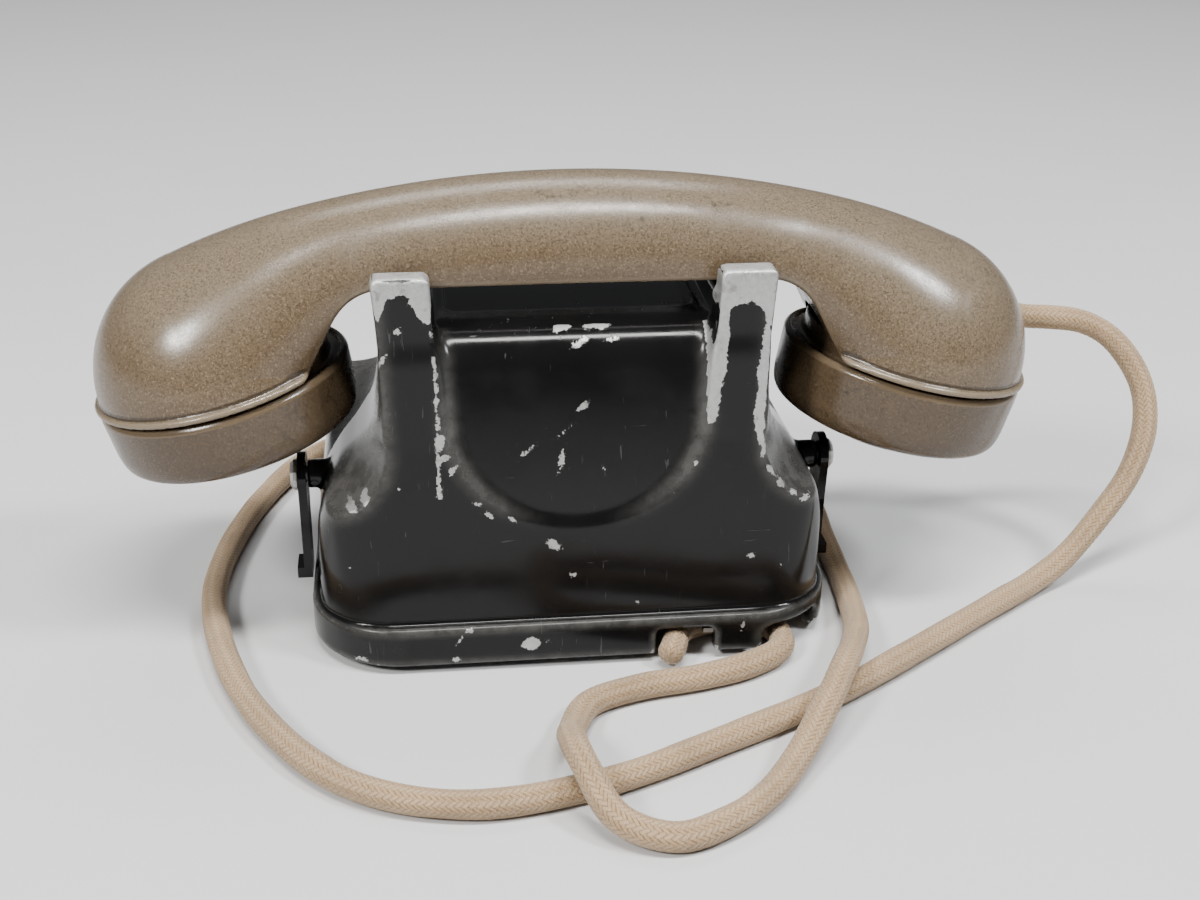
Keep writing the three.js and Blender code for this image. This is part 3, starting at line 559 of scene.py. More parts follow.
def turned(name, profile, place, segments=96):
    """A body of revolution about its own Z. A profile off the axis closes on itself."""
    bm = bmesh.new()
    rings = []
    for radius, height in profile:
        if radius < 1e-6:
            rings.append([bm.verts.new((0, 0, height * MM))])
            continue
        ring = []
        for i in range(segments):
            angle = 2 * math.pi * i / segments
            spot = (radius * math.cos(angle) * MM, radius * math.sin(angle) * MM, height * MM)
            ring.append(bm.verts.new(spot))
        rings.append(ring)
    on_axis = profile[0][0] < 1e-6 and profile[-1][0] < 1e-6
    pairs = list(zip(rings, rings[1:]))
    if not on_axis:
        pairs.append((rings[-1], rings[0]))
    for a, b in pairs:
        for i in range(segments):
            j = (i + 1) % segments
            if len(a) == 1:
                bm.faces.new((a[0], b[j], b[i]))
            elif len(b) == 1:
                bm.faces.new((a[i], a[j], b[0]))
            else:
                bm.faces.new((a[i], a[j], b[j], b[i]))
    mesh = bpy.data.meshes.new(name)
    bm.to_mesh(mesh)
    bm.free()
    mesh.transform(place)
    obj = add_object(name, mesh)
    face_outwards(obj)
    shade_smooth(obj, 35)
    return obj


def ear_matrix(side):
    """Place of a cap: its origin on the rim, its axis along Z."""
    place = Matrix.Translation(Vector((HANDSET_X + side * EAR["x"], AXIS_Y, EAR["z"])) * MM)
    return place @ Matrix.Rotation(side * EAR["tilt"], 4, "Y")


def mark_cap_edge(obj, side):
    """The cap's upper edge is marked for a painted highlight; its side stays dark."""
    to_ear = ear_matrix(side).inverted()
    edge = []
    for vertex in obj.data.vertices:
        spot = to_ear @ vertex.co / MM
        near = abs(math.hypot(spot.x, spot.y) - EAR["cap"] + 0.6) < 1.1 and abs(spot.z + 1.2) < 1.3
        edge.append(0.8 if near else 0.0)
    set_attribute(obj, "wear_and_painted_light", edge)


def cap_profile(h):
    """Outline of a cap h high: its dished face, its side and the collar inside the bore."""
    r = EAR["cap"]
    face = [(6, -h), (14, -h + 0.9), (r - 5, -h), (r - 1.6, -h + 1.6)]
    side = [(r - 0.7, -h + 5), (r, -1.9), (r - 0.9, -0.8), (r - 1.6, -0.8)]
    inner = [(30, -1.6), (27.5, -1.6), (27.5, 4), (25.5, 4), (25.5, -h + 4), (6, -h + 3)]
    return rounded_profile(face + side + inner, 1.6)


def make_caps():
    pieces = []
    for side, node in ((-1, "earpiece_cap"), (1, "mouthpiece_cap")):
        obj = turned(node + "_turned", cap_profile(CAP_HEIGHT[side]), ear_matrix(side), 128)
        mark_cap_edge(obj, side)
        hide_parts(node)
        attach(obj, "handset")
        pieces.append(obj)
    return pieces


def make_mouth_insert():
    face = -CAP_HEIGHT[1] - 0.3
    dish = [(0, face - 1.8), (9, face - 2.2), (14.5, face - 3.2), (16.5, face - 3.6)]
    profile = dish + [(19.6, face - 2.4), (20, face), (0, face)]
    obj = turned("mouthpiece_insert_turned", rounded_profile(profile, 1.2), ear_matrix(1), 96)
    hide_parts("mouthpiece_insert")
    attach(obj, "handset")
    return obj


# ---------------- cord
CORD_RADIUS = 3.5
LYING = FLOOR + CORD_RADIUS
CORD_PATH = [
    (119, 20.3, 69.5), (123.5, 23.2, 69.4), (132, 24.5, 66.4), (140.5, 23.5, 66), (149, 22, 65.1),
    (156, 19, 62), (161.6, 15, 56), (165, 10, 48), (164.7, 5, 38), (159.8, 0, 27), (151, -4, 16),
    (140, -9, 6), (128, -15.5, LYING), (117, -23.4, LYING), (81, -49.5, LYING), (62, -62.5, LYING),
    (29, -80, LYING), (-1, -93.4, LYING), (-31, -98, LYING), (-57, -88, LYING), (-80.5, -56, LYING),
    (-94, -13, LYING), (-95.4, 14, LYING), (-87, 57, LYING), (-72, 88, LYING), (-44, 109, LYING),
    (0, 113.5, LYING), (46, 107, LYING), (72, 84, LYING), (79, 50, LYING), (77.5, 15, LYING),
    (76.2, -15, LYING), (73, -36, LYING + 2.5), (67.5, -52, LYING + 6), (62, -64, LYING + 8),
    (55, -76, LYING + 6), (45, -90, LYING + 1.5), (36, -101, LYING), (26, -109, LYING),
    (13, -113.8, LYING), (1, -108.5, LYING + 2), (-5, -97, LYING + 8), (-6.5, -84, LYING + 6),
    (-5.6, -74, LYING + 1), (0, -61.5, LYING), (13.3, -55.5, LYING), (28.8, -52.6, LYING),
    (42.4, -48, LYING), (52, -41, LYING), (52.5, -32.5, LYING), (45.5, -26, LYING), (37.5, -26, LYING),
    (30, -29, LYING + 0.2), (25.8, -35, LYING + 1.8), (24.2, -39.8, LYING + 1.2),
    (21.8, -44.2, LYING + 0.2),
]


def spline(points, step):
    """Centripetal curve through the points, resampled at even steps."""
    p = np.array(points, float)
    p = np.vstack([2 * p[0] - p[1], p, 2 * p[-1] - p[-2]])
    out = []
    for i in range(1, len(p) - 2):
        knots = [0.0]
        for a, b in ((i - 1, i), (i, i + 1), (i + 1, i + 2)):
            knots.append(knots[-1] + np.linalg.norm(p[b] - p[a]) ** 0.5)
        for t in np.linspace(knots[1], knots[2], 24, endpoint=False):
            out.append(centripetal(p[i - 1:i + 3], knots, t))
    out.append(p[-2])
    out = np.array(out)
    run = np.concatenate([[0], np.cumsum(np.linalg.norm(np.diff(out, axis=0), axis=1))])
    even = np.arange(0, run[-1], step)
    return np.stack([np.interp(even, run, out[:, k]) for k in range(3)], 1), even


def centripetal(p, k, t):
    """Point at t on the curve through four points p with knots k."""
    def mix(a, b, ka, kb):
        return a * (kb - t) / (kb - ka) + b * (t - ka) / (kb - ka)
    a1, a2, a3 = (mix(p[i], p[i + 1], k[i], k[i + 1]) for i in range(3))
    b1, b2 = mix(a1, a2, k[0], k[2]), mix(a2, a3, k[1], k[3])
    return mix(b1, b2, k[1], k[2])


BRAID = {"carriers": 16, "lead": 25.0, "depth": 0.36, "under": 0.06, "wander": 0.08}


def braid_height(turn, run):
    """Woven relief: carriers wind both ways, each over two and under two of the others."""
    a = BRAID["carriers"] * (turn + run / BRAID["lead"])
    b = BRAID["carriers"] * (turn - run / BRAID["lead"])
    over = (np.floor(a) + np.floor(b)) % 4 < 2
    return np.where(over, np.abs(np.sin(np.pi * a)), np.abs(np.sin(np.pi * b))) ** 0.6


def cord_frames(path):
    """Two directions across the cord at each point, carried along it without twist."""
    tangent = np.gradient(path, axis=0)
    tangent /= np.linalg.norm(tangent, axis=1)[:, None]
    normals = np.zeros_like(path)
    normal = np.cross(tangent[0], [0, 0, 1])
    for i, t in enumerate(tangent):
        normal = normal - t * normal.dot(t)
        normal /= np.linalg.norm(normal)
        normals[i] = normal
    return normals, np.cross(tangent, normals)


def cord_radius(run, weave):
    """Radius at each point of the surface: woven, a little uneven, and rounded at the far end."""
    wander = 0.06 * np.sin(run / 9.0) + 0.05 * np.sin(run / 3.7 + 1)
    past_end = np.clip(1 - (run[-1] - run) / 2.6, 0, 0.97)
    end_round = np.sqrt(np.clip(1 - past_end ** 2, 0, 1))
    valleys = BRAID["depth"] * (1 - weave)
    radius = CORD_RADIUS - BRAID["under"] - valleys + wander[:, None] - BRAID["wander"]
    return radius * end_round[:, None]


def braid_map(run, i, j, around):
    """UV of each corner: turns around the cord, millimetres along it. The end faces get none."""
    across = np.stack([j, j, j + 1, j + 1], -1) / around
    along = np.stack([run[i], run[i + 1], run[i + 1], run[i]], -1)
    sides = np.stack([across, along], -1).reshape(-1, 2)
    return np.vstack([sides, np.zeros((2 * around, 2))]).astype(np.float32)


def make_cord(step, around):
    path, run = spline(CORD_PATH, step)
    for _ in range(int(6 / step)):
        path[1:-1] = path[1:-1] * 0.5 + (path[:-2] + path[2:]) * 0.25
    normals, binormals = cord_frames(path)
    count = len(path)
    turn = np.arange(around) / around
    angle = turn * 2 * math.pi
    weave = braid_height(turn[None, :], run[:, None])
    cosine, sine = np.cos(angle)[None, :, None], np.sin(angle)[None, :, None]
    ring = normals[:, None] * cosine + binormals[:, None] * sine
    points = path[:, None] + ring * cord_radius(run, weave)[:, :, None]
    points[:, :, 2] = np.maximum(points[:, :, 2], FLOOR)
    i, j = np.meshgrid(np.arange(count - 1), np.arange(around), indexing="ij")
    k = (j + 1) % around
    faces = np.stack([i * around + j, (i + 1) * around + j, (i + 1) * around + k, i * around + k], -1)
    ends = [list(range(around)), list(range((count - 1) * around, count * around))[::-1]]
    mesh = bpy.data.meshes.new("braided_cord")
    mesh.from_pydata((points.reshape(-1, 3) * MM).tolist(), [], faces.reshape(-1, 4).tolist() + ends)
    mesh.transform(BODY)
    mesh.uv_layers.new(name="braid").data.foreach_set("uv", braid_map(run, i, j, around).ravel())
    obj = add_object("braided_cord", mesh)
    shade_smooth(obj)
    return obj


# ---------------- dial
DIAL_SPOT = Vector((0, AXIS_Y + DIAL_Y, DIAL_Z)) * MM
DIAL_PLACE = Matrix.Translation(DIAL_SPOT) @ Matrix.Rotation(-math.pi / 4, 4, "X")
WHEEL = {"radius": 34.0, "middle": 5.9, "half": 0.9}
FINGER = {"ring": 25.0, "radius": 5.6, "first": 240, "step": 27}


def finger_hole(i):
    """Middle of the hole for one digit, from the spindle."""
    angle = math.radians(FINGER["first"] + FINGER["step"] * i)
    return FINGER["ring"] * math.cos(angle), FINGER["ring"] * math.sin(angle)


def finger_wheel_field(x, y, z):
    disc = soft_hypot(x, y) - WHEEL["radius"]
    sheet = np.abs(z - WHEEL["middle"]) - WHEEL["half"]
    body = smooth_max(disc, sheet, 0.8)
    for i in range(10):
        at_x, at_y = finger_hole(i)
        body = smooth_max(body, FINGER["radius"] - soft_hypot(x - at_x, y - at_y), 0.8)
    return body


def make_finger_wheel(step):
    reach, middle, half = WHEEL["radius"], WHEEL["middle"], WHEEL["half"]
    low = [-reach, -reach, middle - half]
    high = [reach, reach, middle + half]
    obj, _ = mesh_of_field("finger_wheel_disc", finger_wheel_field, low, high, step, DIAL_PLACE)
    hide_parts("finger_wheel")
    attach(obj, "dial_wheel")
    return obj


def make_numerals():
    """The digits 1 to 9 and 0, printed on the number plate, one under each finger hole."""
    meshes = []
    for i in range(10):
        text = bpy.data.curves.new("numeral", "FONT")
        text.body = str((i + 1) % 10)
        text.align_x, text.align_y = "CENTER", "CENTER"
        text.size, text.extrude = 8.2 * MM, 0.06 * MM
        holder = add_object("numeral", text)
        bpy.context.view_layer.update()
        graph = bpy.context.evaluated_depsgraph_get()
        digit = bpy.data.meshes.new_from_object(holder.evaluated_get(graph))
        at_x, at_y = finger_hole(i)
        upright = Matrix.Rotation(math.pi, 4, "Z")
        digit.transform(DIAL_PLACE @ Matrix.Translation(Vector((at_x, at_y, 3.05)) * MM) @ upright)
        meshes.append(digit)
        bpy.data.objects.remove(holder)
    bm = bmesh.new()
    for digit in meshes:
        bm.from_mesh(digit)
    bmesh.ops.remove_doubles(bm, verts=bm.verts, dist=1e-6)
    whole = bpy.data.meshes.new("numerals")
    bm.to_mesh(whole)
    bm.free()
    obj = add_object("numerals", whole)
    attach(obj, "root")
    return obj


def make_dial_rings():
    """Finely turned dial flange, number plate and centre disc."""
    flange = [(29, 0.3), (38, 0.3), (38, 0.9), (37.4, 1.6), (36.4, 1.9)]
    flange += [(3.2, 1.9), (3.2, -23), (26, -23), (29, -21)]
    plate = [(6, 2.2), (36, 2.2), (36, 2.8), (35.5, 3.0), (6, 3.0)]
    centre = [(0, 7.1), (14, 7.1), (14, 8), (13, 8.9), (11.6, 9.1)]
    centre += [(11, 8.7), (10.4, 8.7), (10, 9.2), (0, 9.5)]
    table = (
        ("dial_case", flange, "root", "enamel_black"),
        ("number_plate", plate, "root", "porcelain"),
        ("dial_centre", centre, "dial_wheel", "nickel"),
    )
    pieces = []
    for node, profile, body, slot in table:
        obj = turned(node + "_turned", rounded_profile(profile, 0.4, 3), DIAL_PLACE, 128)
        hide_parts(node)
        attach(obj, body)
        pieces.append((obj, slot))
    return pieces


# ---------------- materials
class Nodes:
    """A short way to write a node tree."""

    def __init__(self, name):
        self.material = bpy.data.materials.new(name)
        self.material.use_nodes = True
        self.tree = self.material.node_tree
        self.bsdf = self.tree.nodes["Principled BSDF"]
        self.place = self.new("ShaderNodeTexCoord").outputs["Object"]

    def new(self, kind, **settings):
        node = self.tree.nodes.new(kind)
        for key, value in settings.items():
            setattr(node, key, value)
        return node

    def link(self, source, target):
        if isinstance(source, bpy.types.NodeSocket):
            self.tree.links.new(source, target)
        else:
            target.default_value = source

    def link_color(self, color, target):
        self.link(color if isinstance(color, bpy.types.NodeSocket) else (*color, 1.0), target)

    def noise(self, size_mm, detail=4.0, rough=0.55, distortion=0.0, place=None):
        node = self.new("ShaderNodeTexNoise")
        self.link(place or self.place, node.inputs["Vector"])
        node.inputs["Scale"].default_value = 1 / (size_mm * MM)
        node.inputs["Detail"].default_value = detail
        node.inputs["Roughness"].default_value = rough
        node.inputs["Distortion"].default_value = distortion
        return node.outputs["Fac"]

    def attribute(self, name):
        return self.new("ShaderNodeAttribute", attribute_name=name).outputs["Fac"]

    def math(self, operation, a, b=0.0):
        node = self.new("ShaderNodeMath", operation=operation)
        self.link(a, node.inputs[0])
        self.link(b, node.inputs[1])
        return node.outputs[0]

    def plus(self, a, b):
        return self.math("ADD", a, b)

    def minus(self, a, b):
        return self.math("SUBTRACT", a, b)

    def times(self, a, b):
        return self.math("MULTIPLY", a, b)

    def span(self, value, low, high, out_low=0.0, out_high=1.0):
        node = self.new("ShaderNodeMapRange", interpolation_type="SMOOTHSTEP")
        names = ("Value", "From Min", "From Max", "To Min", "To Max")
        for key, entry in zip(names, (value, low, high, out_low, out_high)):
            self.link(entry, node.inputs[key])
        return node.outputs[0]

    def mix(self, factor, a, b):
        node = self.new("ShaderNodeMix", data_type="RGBA")
        self.link(factor, node.inputs["Factor"])
        for entry, socket in ((a, node.inputs[6]), (b, node.inputs[7])):
            self.link_color(entry, socket)
        return node.outputs[2]

    def stretch(self, scale):
        node = self.new("ShaderNodeMapping")
        self.link(self.place, node.inputs["Vector"])
        node.inputs["Scale"].default_value = scale
        return node.outputs[0]

    def bump(self, height, distance_mm, strength=1.0, normal=None):
        node = self.new("ShaderNodeBump")
        node.inputs["Strength"].default_value = strength
        node.inputs["Distance"].default_value = distance_mm * MM
        self.link(height, node.inputs["Height"])
        if normal is not None:
            self.link(normal, node.inputs["Normal"])
        return node.outputs[0]

    def finish(self, color, roughness, metallic=0.0, normal=None, **extra):
        self.link_color(color, self.bsdf.inputs["Base Color"])
        self.link(roughness, self.bsdf.inputs["Roughness"])
        self.link(metallic, self.bsdf.inputs["Metallic"])
        if normal is not None:
            self.link(normal, self.bsdf.inputs["Normal"])
        for key, value in extra.items():
            self.link(value, self.bsdf.inputs[key.replace("_", " ")])
        return self.material


def enamel_material():
    """Gloss black stove enamel, worn to grey alloy where the attribute 'wear' is above 3."""
    n = Nodes("worn_black_enamel")
    wear_and_painted_light, haze_and_painted_light = n.minus(n.attribute("wear_and_painted_light"), 3.0), n.attribute("haze_and_painted_light")
    ragged = n.minus(n.noise(2.0, 5, 0.65), 0.5)
    fine = n.minus(n.noise(0.6, 3, 0.6), 0.5)
    worn = n.plus(wear_and_painted_light, n.times(ragged, 2.6))
    worn = n.plus(worn, n.times(fine, 1.2))
    bare = n.span(worn, -0.05, 0.08)
    rim = n.span(worn, -0.55, -0.05)
    scratch_place = n.stretch((1, 0.4, 0.09))
    scratches = n.span(n.noise(0.8, 2, 0.5, 0.5, scratch_place), 0.69, 0.73)
    scratches = n.times(scratches, n.span(n.noise(20, 2), 0.48, 0.6))
    cross_place = n.stretch((0.09, 0.4, 1))
    cross = n.span(n.noise(0.9, 2, 0.5, 0.8, cross_place), 0.71, 0.75)
    scratches = n.math("MAXIMUM", scratches, n.times(cross, n.span(n.noise(15, 2), 0.52, 0.62)))
    cloud = n.noise(16, 5, 0.6)
    dust = n.span(n.noise(1.2, 4, 0.7), 0.5, 0.75)
    black = n.mix(n.times(cloud, 0.6), (0.0028, 0.0028, 0.0030), (0.0085, 0.0083, 0.0080))
    black = n.mix(n.times(scratches, 0.30), black, (0.11, 0.11, 0.105))
    # Where the haze attribute is high the paint is painted a lighter grey, a painted sheen on the recess
    # wall and in the scoops (on the low edges rubbed wear and painted sheen both), and it is made duller.
    veil_and_painted_sheen = n.times(haze_and_painted_light, n.span(n.noise(5, 5, 0.65), 0.3, 0.7, 0.45, 1.0))
    black = n.mix(n.times(veil_and_painted_sheen, 0.8), black, (0.085, 0.083, 0.078))
    black = n.mix(n.times(n.times(rim, dust), 0.5), black, (0.07, 0.065, 0.055))
    metal = n.mix(n.noise(1.2, 5, 0.7), (0.33, 0.33, 0.32), (0.60, 0.605, 0.60))
    metal = n.mix(n.span(n.noise(4, 3), 0.58, 0.7, 0.0, 0.6), metal, (0.20, 0.19, 0.175))
    color = n.mix(bare, black, metal)
    gloss = n.span(cloud, 0.35, 0.7, 0.11, 0.2)
    gloss = n.plus(gloss, n.times(dust, 0.04))
    gloss = n.plus(gloss, n.times(scratches, 0.2))
    gloss = n.plus(gloss, n.times(veil_and_painted_sheen, 0.22))
    dull = n.span(n.noise(0.7, 3), 0.3, 0.7, 0.38, 0.58)
    paint_part = n.times(gloss, n.minus(1.0, bare))
    roughness = n.plus(paint_part, n.times(dull, bare))
    height = n.minus(n.times(n.noise(9, 3), 0.12), bare)
    height = n.minus(height, n.times(scratches, 0.15))
    height = n.plus(height, n.times(n.times(n.noise(0.35, 2), bare), 0.5))
    metallic = n.times(bare, 0.8)
    return n.finish(color, roughness, metallic, n.bump(height, 0.12), Specular_IOR_Level=0.24)


def ebonite_material(name, haze_and_painted_light, brown, deep):
    """Speckled moulded compound: grey on faces turned up and browner on faces turned down, a painted light
    and shade.
    """
    n = Nodes(name)
    edge = n.attribute("wear_and_painted_light")
    split = n.new("ShaderNodeSeparateXYZ")
    n.link(n.new("ShaderNodeTexCoord").outputs["Normal"], split.inputs[0])
    patches = n.times(n.minus(n.noise(34, 4, 0.55), 0.5), 1.3)
    # Faces turned up get the grey tone and faces turned down the brown: painted light and shade, broken up
    # by large patches.
    upward = n.plus(split.outputs["Z"], patches)
    color = n.mix(n.span(upward, -0.45, 0.85), brown, haze_and_painted_light)
    fine = n.noise(0.55, 3, 0.7)
    color = n.mix(n.span(fine, 0.47, 0.62, 0.0, 0.62), color, deep)
    bright = n.noise(0.5, 2, 0.6, 0.0, n.stretch((1, 1.1, 0.9)))
    color = n.mix(n.span(bright, 0.56, 0.66, 0.0, 0.45), color, tuple(min(1, 1.7 * v) for v in haze_and_painted_light))
    grime = n.span(n.noise(6, 6, 0.72, 1.0), 0.55, 0.68)
    grime = n.times(grime, n.span(n.noise(34, 2), 0.49, 0.60))
    color = n.mix(n.times(grime, 0.6), color, tuple(0.4 * v for v in deep))
    # Convex edges and the marked cap rims: a painted highlight in a lighter tone, and a smoother finish.
    polish_and_painted_highlight = n.span(edge, 0.25, 0.9, 0.0, 0.75)
    color = n.mix(polish_and_painted_highlight, color, tuple(min(1, 1.35 * v) for v in haze_and_painted_light))
    # Hollows: painted shade in a darker tone.
    hollow = n.span(edge, -0.6, -0.2, 0.7, 0.0)
    color = n.mix(hollow, color, tuple(0.35 * v for v in deep))
    roughness = n.span(n.noise(14, 5), 0.3, 0.7, 0.19, 0.29)
    roughness = n.plus(roughness, n.span(fine, 0.4, 0.7, 0.0, 0.06))
    roughness = n.minus(roughness, n.times(polish_and_painted_highlight, 0.08))
    height = n.plus(n.times(fine, 0.4), n.times(n.noise(3, 3), 0.4))
    return n.finish(color, roughness, 0.0, n.bump(height, 0.05, 0.7))


def braid_material():
    """Tan cotton braid: the weave's relief in the yarns, patchy soiling, painted shade in the valleys
    between yarns and threads, and loose fibres.
    """
    n = Nodes("cotton_braid")
    split = n.new("ShaderNodeSeparateXYZ")
    n.link(n.new("ShaderNodeUVMap", uv_map="braid").outputs[0], split.inputs[0])
    turn = n.times(split.outputs["X"], BRAID["carriers"])
    run = n.times(split.outputs["Y"], BRAID["carriers"] / BRAID["lead"])
    a, b = n.plus(turn, run), n.minus(turn, run)
    cell = n.plus(n.math("FLOOR", a), n.math("FLOOR", b))
    over = n.math("LESS_THAN", n.math("FLOORED_MODULO", cell, 4.0), 1.5)
    under = n.minus(1.0, over)

    def yarns(along, ridges):
        wave = n.math("SINE", n.times(along, math.pi * ridges))
        return n.math("ABSOLUTE", wave)

    strand = n.plus(n.times(yarns(a, 1), over), n.times(yarns(b, 1), under))
    thread = n.plus(n.times(yarns(a, 4), over), n.times(yarns(b, 4), under))
    soil, fibre = n.noise(26, 4, 0.6), n.noise(0.3, 3, 0.6)
    light = n.mix(n.span(soil, 0.4, 0.7), (0.40, 0.255, 0.125), (0.27, 0.165, 0.075))
    # Valleys between yarns and between threads painted dark: painted shade.
    color = n.mix(n.span(strand, 0.15, 0.75), (0.16, 0.105, 0.06), light)
    color = n.mix(n.span(thread, 0.0, 0.5, 0.35, 0.0), color, (0.16, 0.105, 0.06))
    color = n.mix(n.times(over, 0.16), color, (0.62, 0.50, 0.35))
    color = n.mix(n.span(fibre, 0.45, 0.7, 0.0, 0.35), color, (0.66, 0.55, 0.40))
    height = n.plus(n.times(fibre, 0.5), n.times(thread, 0.35))
    height = n.plus(height, n.times(strand, 0.9))
    return n.finish(color, 0.9, 0.0, n.bump(height, 0.16, 0.9), Sheen_Weight=0.2, Sheen_Roughness=0.5)


def metal_material(name, color, dark, roughness, grain=(1, 1, 1), tarnish=0.4):
    """Bare or plated metal with stains and fine streaks."""
    n = Nodes(name)
    streak = n.noise(0.6, 3, 0.6, 0.0, n.stretch(grain))
    stain = n.noise(6, 5, 0.65)
    base = n.mix(n.times(n.span(stain, 0.42, 0.7), tarnish), color, dark)
    base = n.mix(n.span(streak, 0.35, 0.7, 0.0, 0.18), base, dark)
    rough = n.span(stain, 0.3, 0.7, roughness - 0.06, roughness + 0.12)
    rough = n.plus(rough, n.times(streak, 0.06))
    return n.finish(base, rough, 1.0, n.bump(streak, 0.02, 0.5))


def plain_material(name, color, dark, roughness, size=2.0, specular=0.5):
    """Painted, moulded or rubber surface with mottling and a fine grain."""
    n = Nodes(name)
    mottle = n.noise(size * 4, 5, 0.6)
    grain = n.noise(size * 0.25, 3, 0.6)
    base = n.mix(n.span(mottle, 0.35, 0.7), color, dark)
    base = n.mix(n.span(grain, 0.5, 0.7, 0.0, 0.3), base, dark)
    rough = n.span(mottle, 0.3, 0.7, roughness - 0.05, roughness + 0.1)
    return n.finish(base, rough, 0.0, n.bump(grain, 0.05, 0.6), Specular_IOR_Level=specular)


def winding_material():
    """Varnished enamelled wire laid side by side."""
    n = Nodes("wire_winding")
    wave = n.new("ShaderNodeTexWave", bands_direction="Y")
    n.link(n.place, wave.inputs["Vector"])
    wave.inputs["Scale"].default_value = 1 / (0.9 * MM)
    wave.inputs["Distortion"].default_value = 0.4
    turns = wave.outputs["Fac"]
    # Each turn painted bright along its crown and dark in the groove beside it: painted highlight and
    # painted shade.
    base = n.mix(turns, (0.06, 0.012, 0.006), (0.36, 0.09, 0.035))
    base = n.mix(n.span(n.noise(5, 4), 0.5, 0.7, 0.0, 0.5), base, (0.10, 0.03, 0.02))
    return n.finish(base, 0.35, 0.2, n.bump(turns, 0.12))


def dress(materials):
    """Gives every carried-over CAD node the material of its slot in the record."""
    slots = {entry["node"]: entry["material_slot"] for entry in frame["record"]["subparts"]}
    for node, obj in frame["nodes"].items():
        material = materials[slots[node]]
        obj.data.materials.clear()
        obj.data.materials.append(material)


def paint(obj, material):
    obj.data.materials.clear()
    obj.data.materials.append(material)
    return obj


# ---------------- floor, light, camera
def make_stage():
    bpy.ops.mesh.primitive_plane_add(size=12, location=(0, 0, FLOOR * MM))
    floor = bpy.context.object
    floor.name = "floor"
    n = Nodes("pale_floor")
    tone = n.mix(n.noise(180, 3), (0.56, 0.565, 0.575), (0.62, 0.62, 0.625))
    distance = n.new("ShaderNodeVectorMath", operation="LENGTH")
    n.link(n.place, distance.inputs[0])
    # A painted glow for the camera only, stronger the farther the floor lies from the middle; the floor is
    # no lamp.
    haze_and_painted_light = n.span(distance.outputs["Value"], 0.5, 2.6, 0.0, 0.40)
    glow = n.times(haze_and_painted_light, n.new("ShaderNodeLightPath").outputs["Is Camera Ray"])
    bump = n.bump(n.noise(1.5, 2), 0.05, 0.3)
    paint(floor, n.finish(tone, 0.75, 0.0, bump, Emission_Color=tone, Emission_Strength=glow))


def soft_light(name, location, target, size, power, color=(1, 1, 1)):
    data = bpy.data.lights.new(name, "AREA")
    data.shape = "RECTANGLE"
    data.size, data.size_y = size
    data.energy = power
    data.color = color
    obj = bpy.data.objects.new(name, data)
    bpy.context.scene.collection.objects.link(obj)
    obj.location = location
    obj.rotation_euler = (Vector(target) - Vector(location)).to_track_quat("-Z", "Y").to_euler()


def make_lights():
    middle = (0, 0, 0.06)
    soft_light("overhead", (0.05, -0.42, 1.30), middle, (0.62, 0.16), 21, (1, 0.985, 0.96))
    soft_light("window_left", (-0.80, -0.75, 0.95), middle, (0.24, 0.30), 20, (1, 0.985, 0.96))
    soft_light("window_right", (0.80, -0.45, 1.10), middle, (0.24, 0.24), 16, (0.97, 0.985, 1))
    soft_light("back", (0.0, 0.75, 1.25), middle, (0.9, 0.4), 8)
    world = bpy.data.worlds.new("studio")
    bpy.context.scene.world = world
    world.use_nodes = True
    tree = world.node_tree
    tree.nodes["Background"].inputs["Color"].default_value = (0.80, 0.82, 0.85, 1)
    path = tree.nodes.new("ShaderNodeLightPath")
    strength = tree.nodes.new("ShaderNodeMapRange")
    strength.inputs["To Min"].default_value = 0.15
    strength.inputs["To Max"].default_value = 0.55
    tree.links.new(path.outputs["Is Camera Ray"], strength.inputs["Value"])
    tree.links.new(strength.outputs["Result"], tree.nodes["Background"].inputs["Strength"])


def make_camera():
    """The camera stands a little left of the back's centre line and looks down on the cradle."""
    lens, distance = 48.0, 0.428
    turn, drop, roll = math.radians(7.0), math.radians(25.0), math.radians(0.7)
    target = Vector((0.0092, AXIS_Y * MM - 0.0011, 0.0415))
    back = Vector((-math.sin(turn) * math.cos(drop), -math.cos(turn) * math.cos(drop), math.sin(drop)))
    data = bpy.data.cameras.new("camera")
    data.lens, data.sensor_width = lens, 36.0
    data.clip_start, data.clip_end = 0.01, 50
    camera = bpy.data.objects.new("camera", data)
    bpy.context.scene.collection.objects.link(camera)
    camera.location = target + back * distance
    facing = (-back).to_track_quat("-Z", "Y").to_matrix()
    camera.rotation_euler = (facing @ Matrix.Rotation(roll, 3, "Z")).to_euler()
    bpy.context.scene.camera = camera


# ---------------- assembly
FINE = 0.75

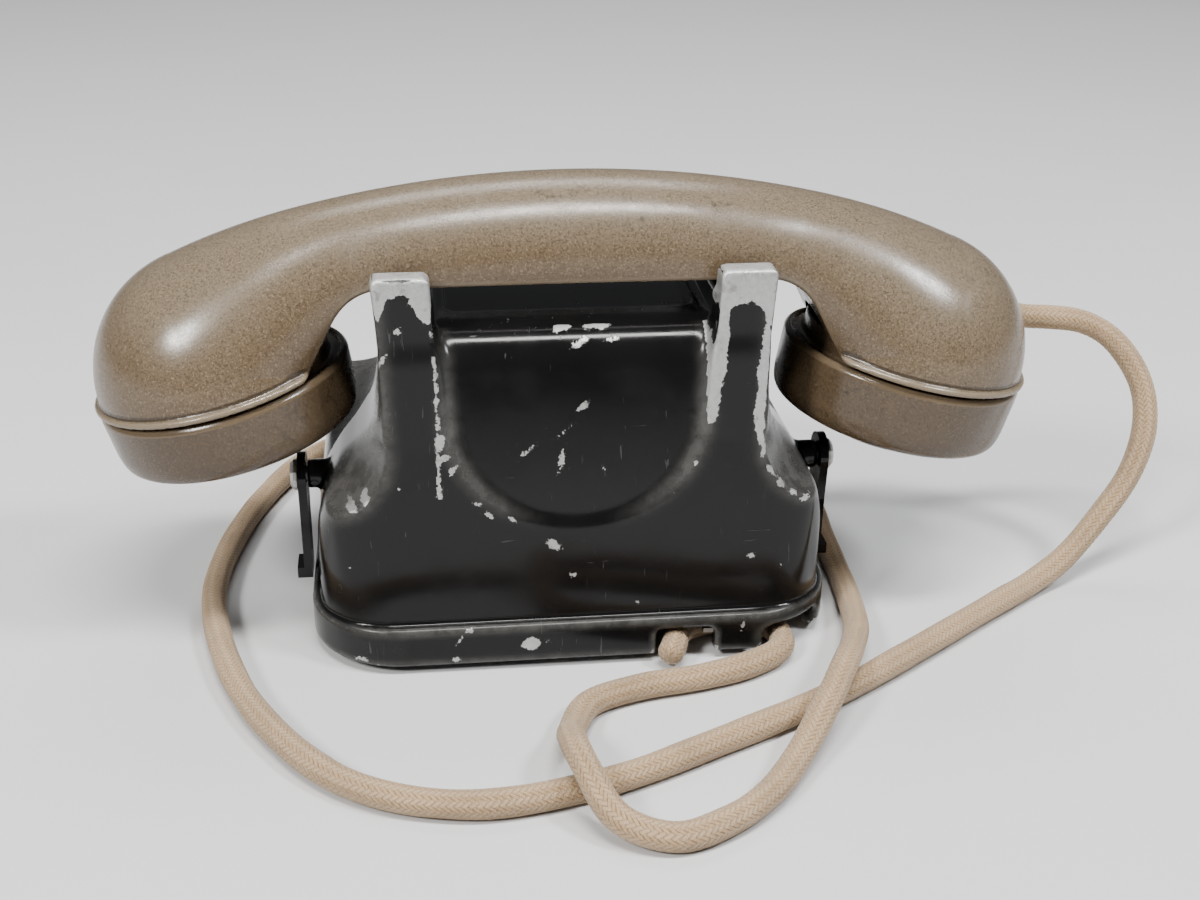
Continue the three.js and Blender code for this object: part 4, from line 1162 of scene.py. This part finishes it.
enamel = enamel_material()
EBONITE_TONES = ((0.150, 0.117, 0.080), (0.098, 0.062, 0.030), (0.040, 0.027, 0.015))   # grey tone painted on faces turned up (painted light), brown painted on faces turned down (painted shade), deep
DARK_TONES = ((0.088, 0.063, 0.038), (0.062, 0.039, 0.019), (0.023, 0.015, 0.008))
STEEL_TONES = ((0.52, 0.52, 0.50), (0.22, 0.20, 0.17))                                   # clean, stained
RUBBER_TONES = ((0.022, 0.021, 0.020), (0.045, 0.042, 0.038))
ebonite = ebonite_material("ebonite_grey_brown", *EBONITE_TONES)
dark_ebonite = ebonite_material("ebonite_dark", *DARK_TONES)
MATERIALS = {
    "enamel_black": enamel,
    "ebonite": ebonite,
    "dark_ebonite": dark_ebonite,
    "black_plastic": plain_material("black_plastic", (0.010, 0.0095, 0.009), (0.02, 0.018, 0.016), 0.34),
    "plated_steel": metal_material("zinc_plated_steel", *STEEL_TONES, 0.38, (1, 0.05, 1)),
    "nickel": metal_material("nickel_plate", (0.66, 0.64, 0.60), (0.34, 0.30, 0.24), 0.2, (1, 1, 1), 0.35),
    "brass": metal_material("aged_brass", (0.62, 0.45, 0.20), (0.25, 0.16, 0.06), 0.3),
    "winding": winding_material(),
    "foot_rubber": plain_material("foot_rubber", *RUBBER_TONES, 0.8, 1.2, 0.3),
    "braided_cotton": braid_material(),
    "porcelain": plain_material("porcelain_enamel", (0.74, 0.70, 0.60), (0.62, 0.56, 0.44), 0.22, 3.0),
}
dress(MATERIALS)
paint(make_housing(FINE), enamel)
paint(make_handset(FINE * 0.9), ebonite)
for cap in make_caps():
    paint(cap, dark_ebonite)
paint(make_mouth_insert(), MATERIALS["black_plastic"])
paint(make_finger_wheel(0.5), MATERIALS["nickel"])
for piece, slot in make_dial_rings():
    paint(piece, MATERIALS[slot])
paint(make_numerals(), MATERIALS["black_plastic"])
cord = make_cord(0.4, 60)
paint(cord, MATERIALS["braided_cotton"])
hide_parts("handset_cord")
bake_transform(cord)

make_stage()
make_lights()
make_camera()
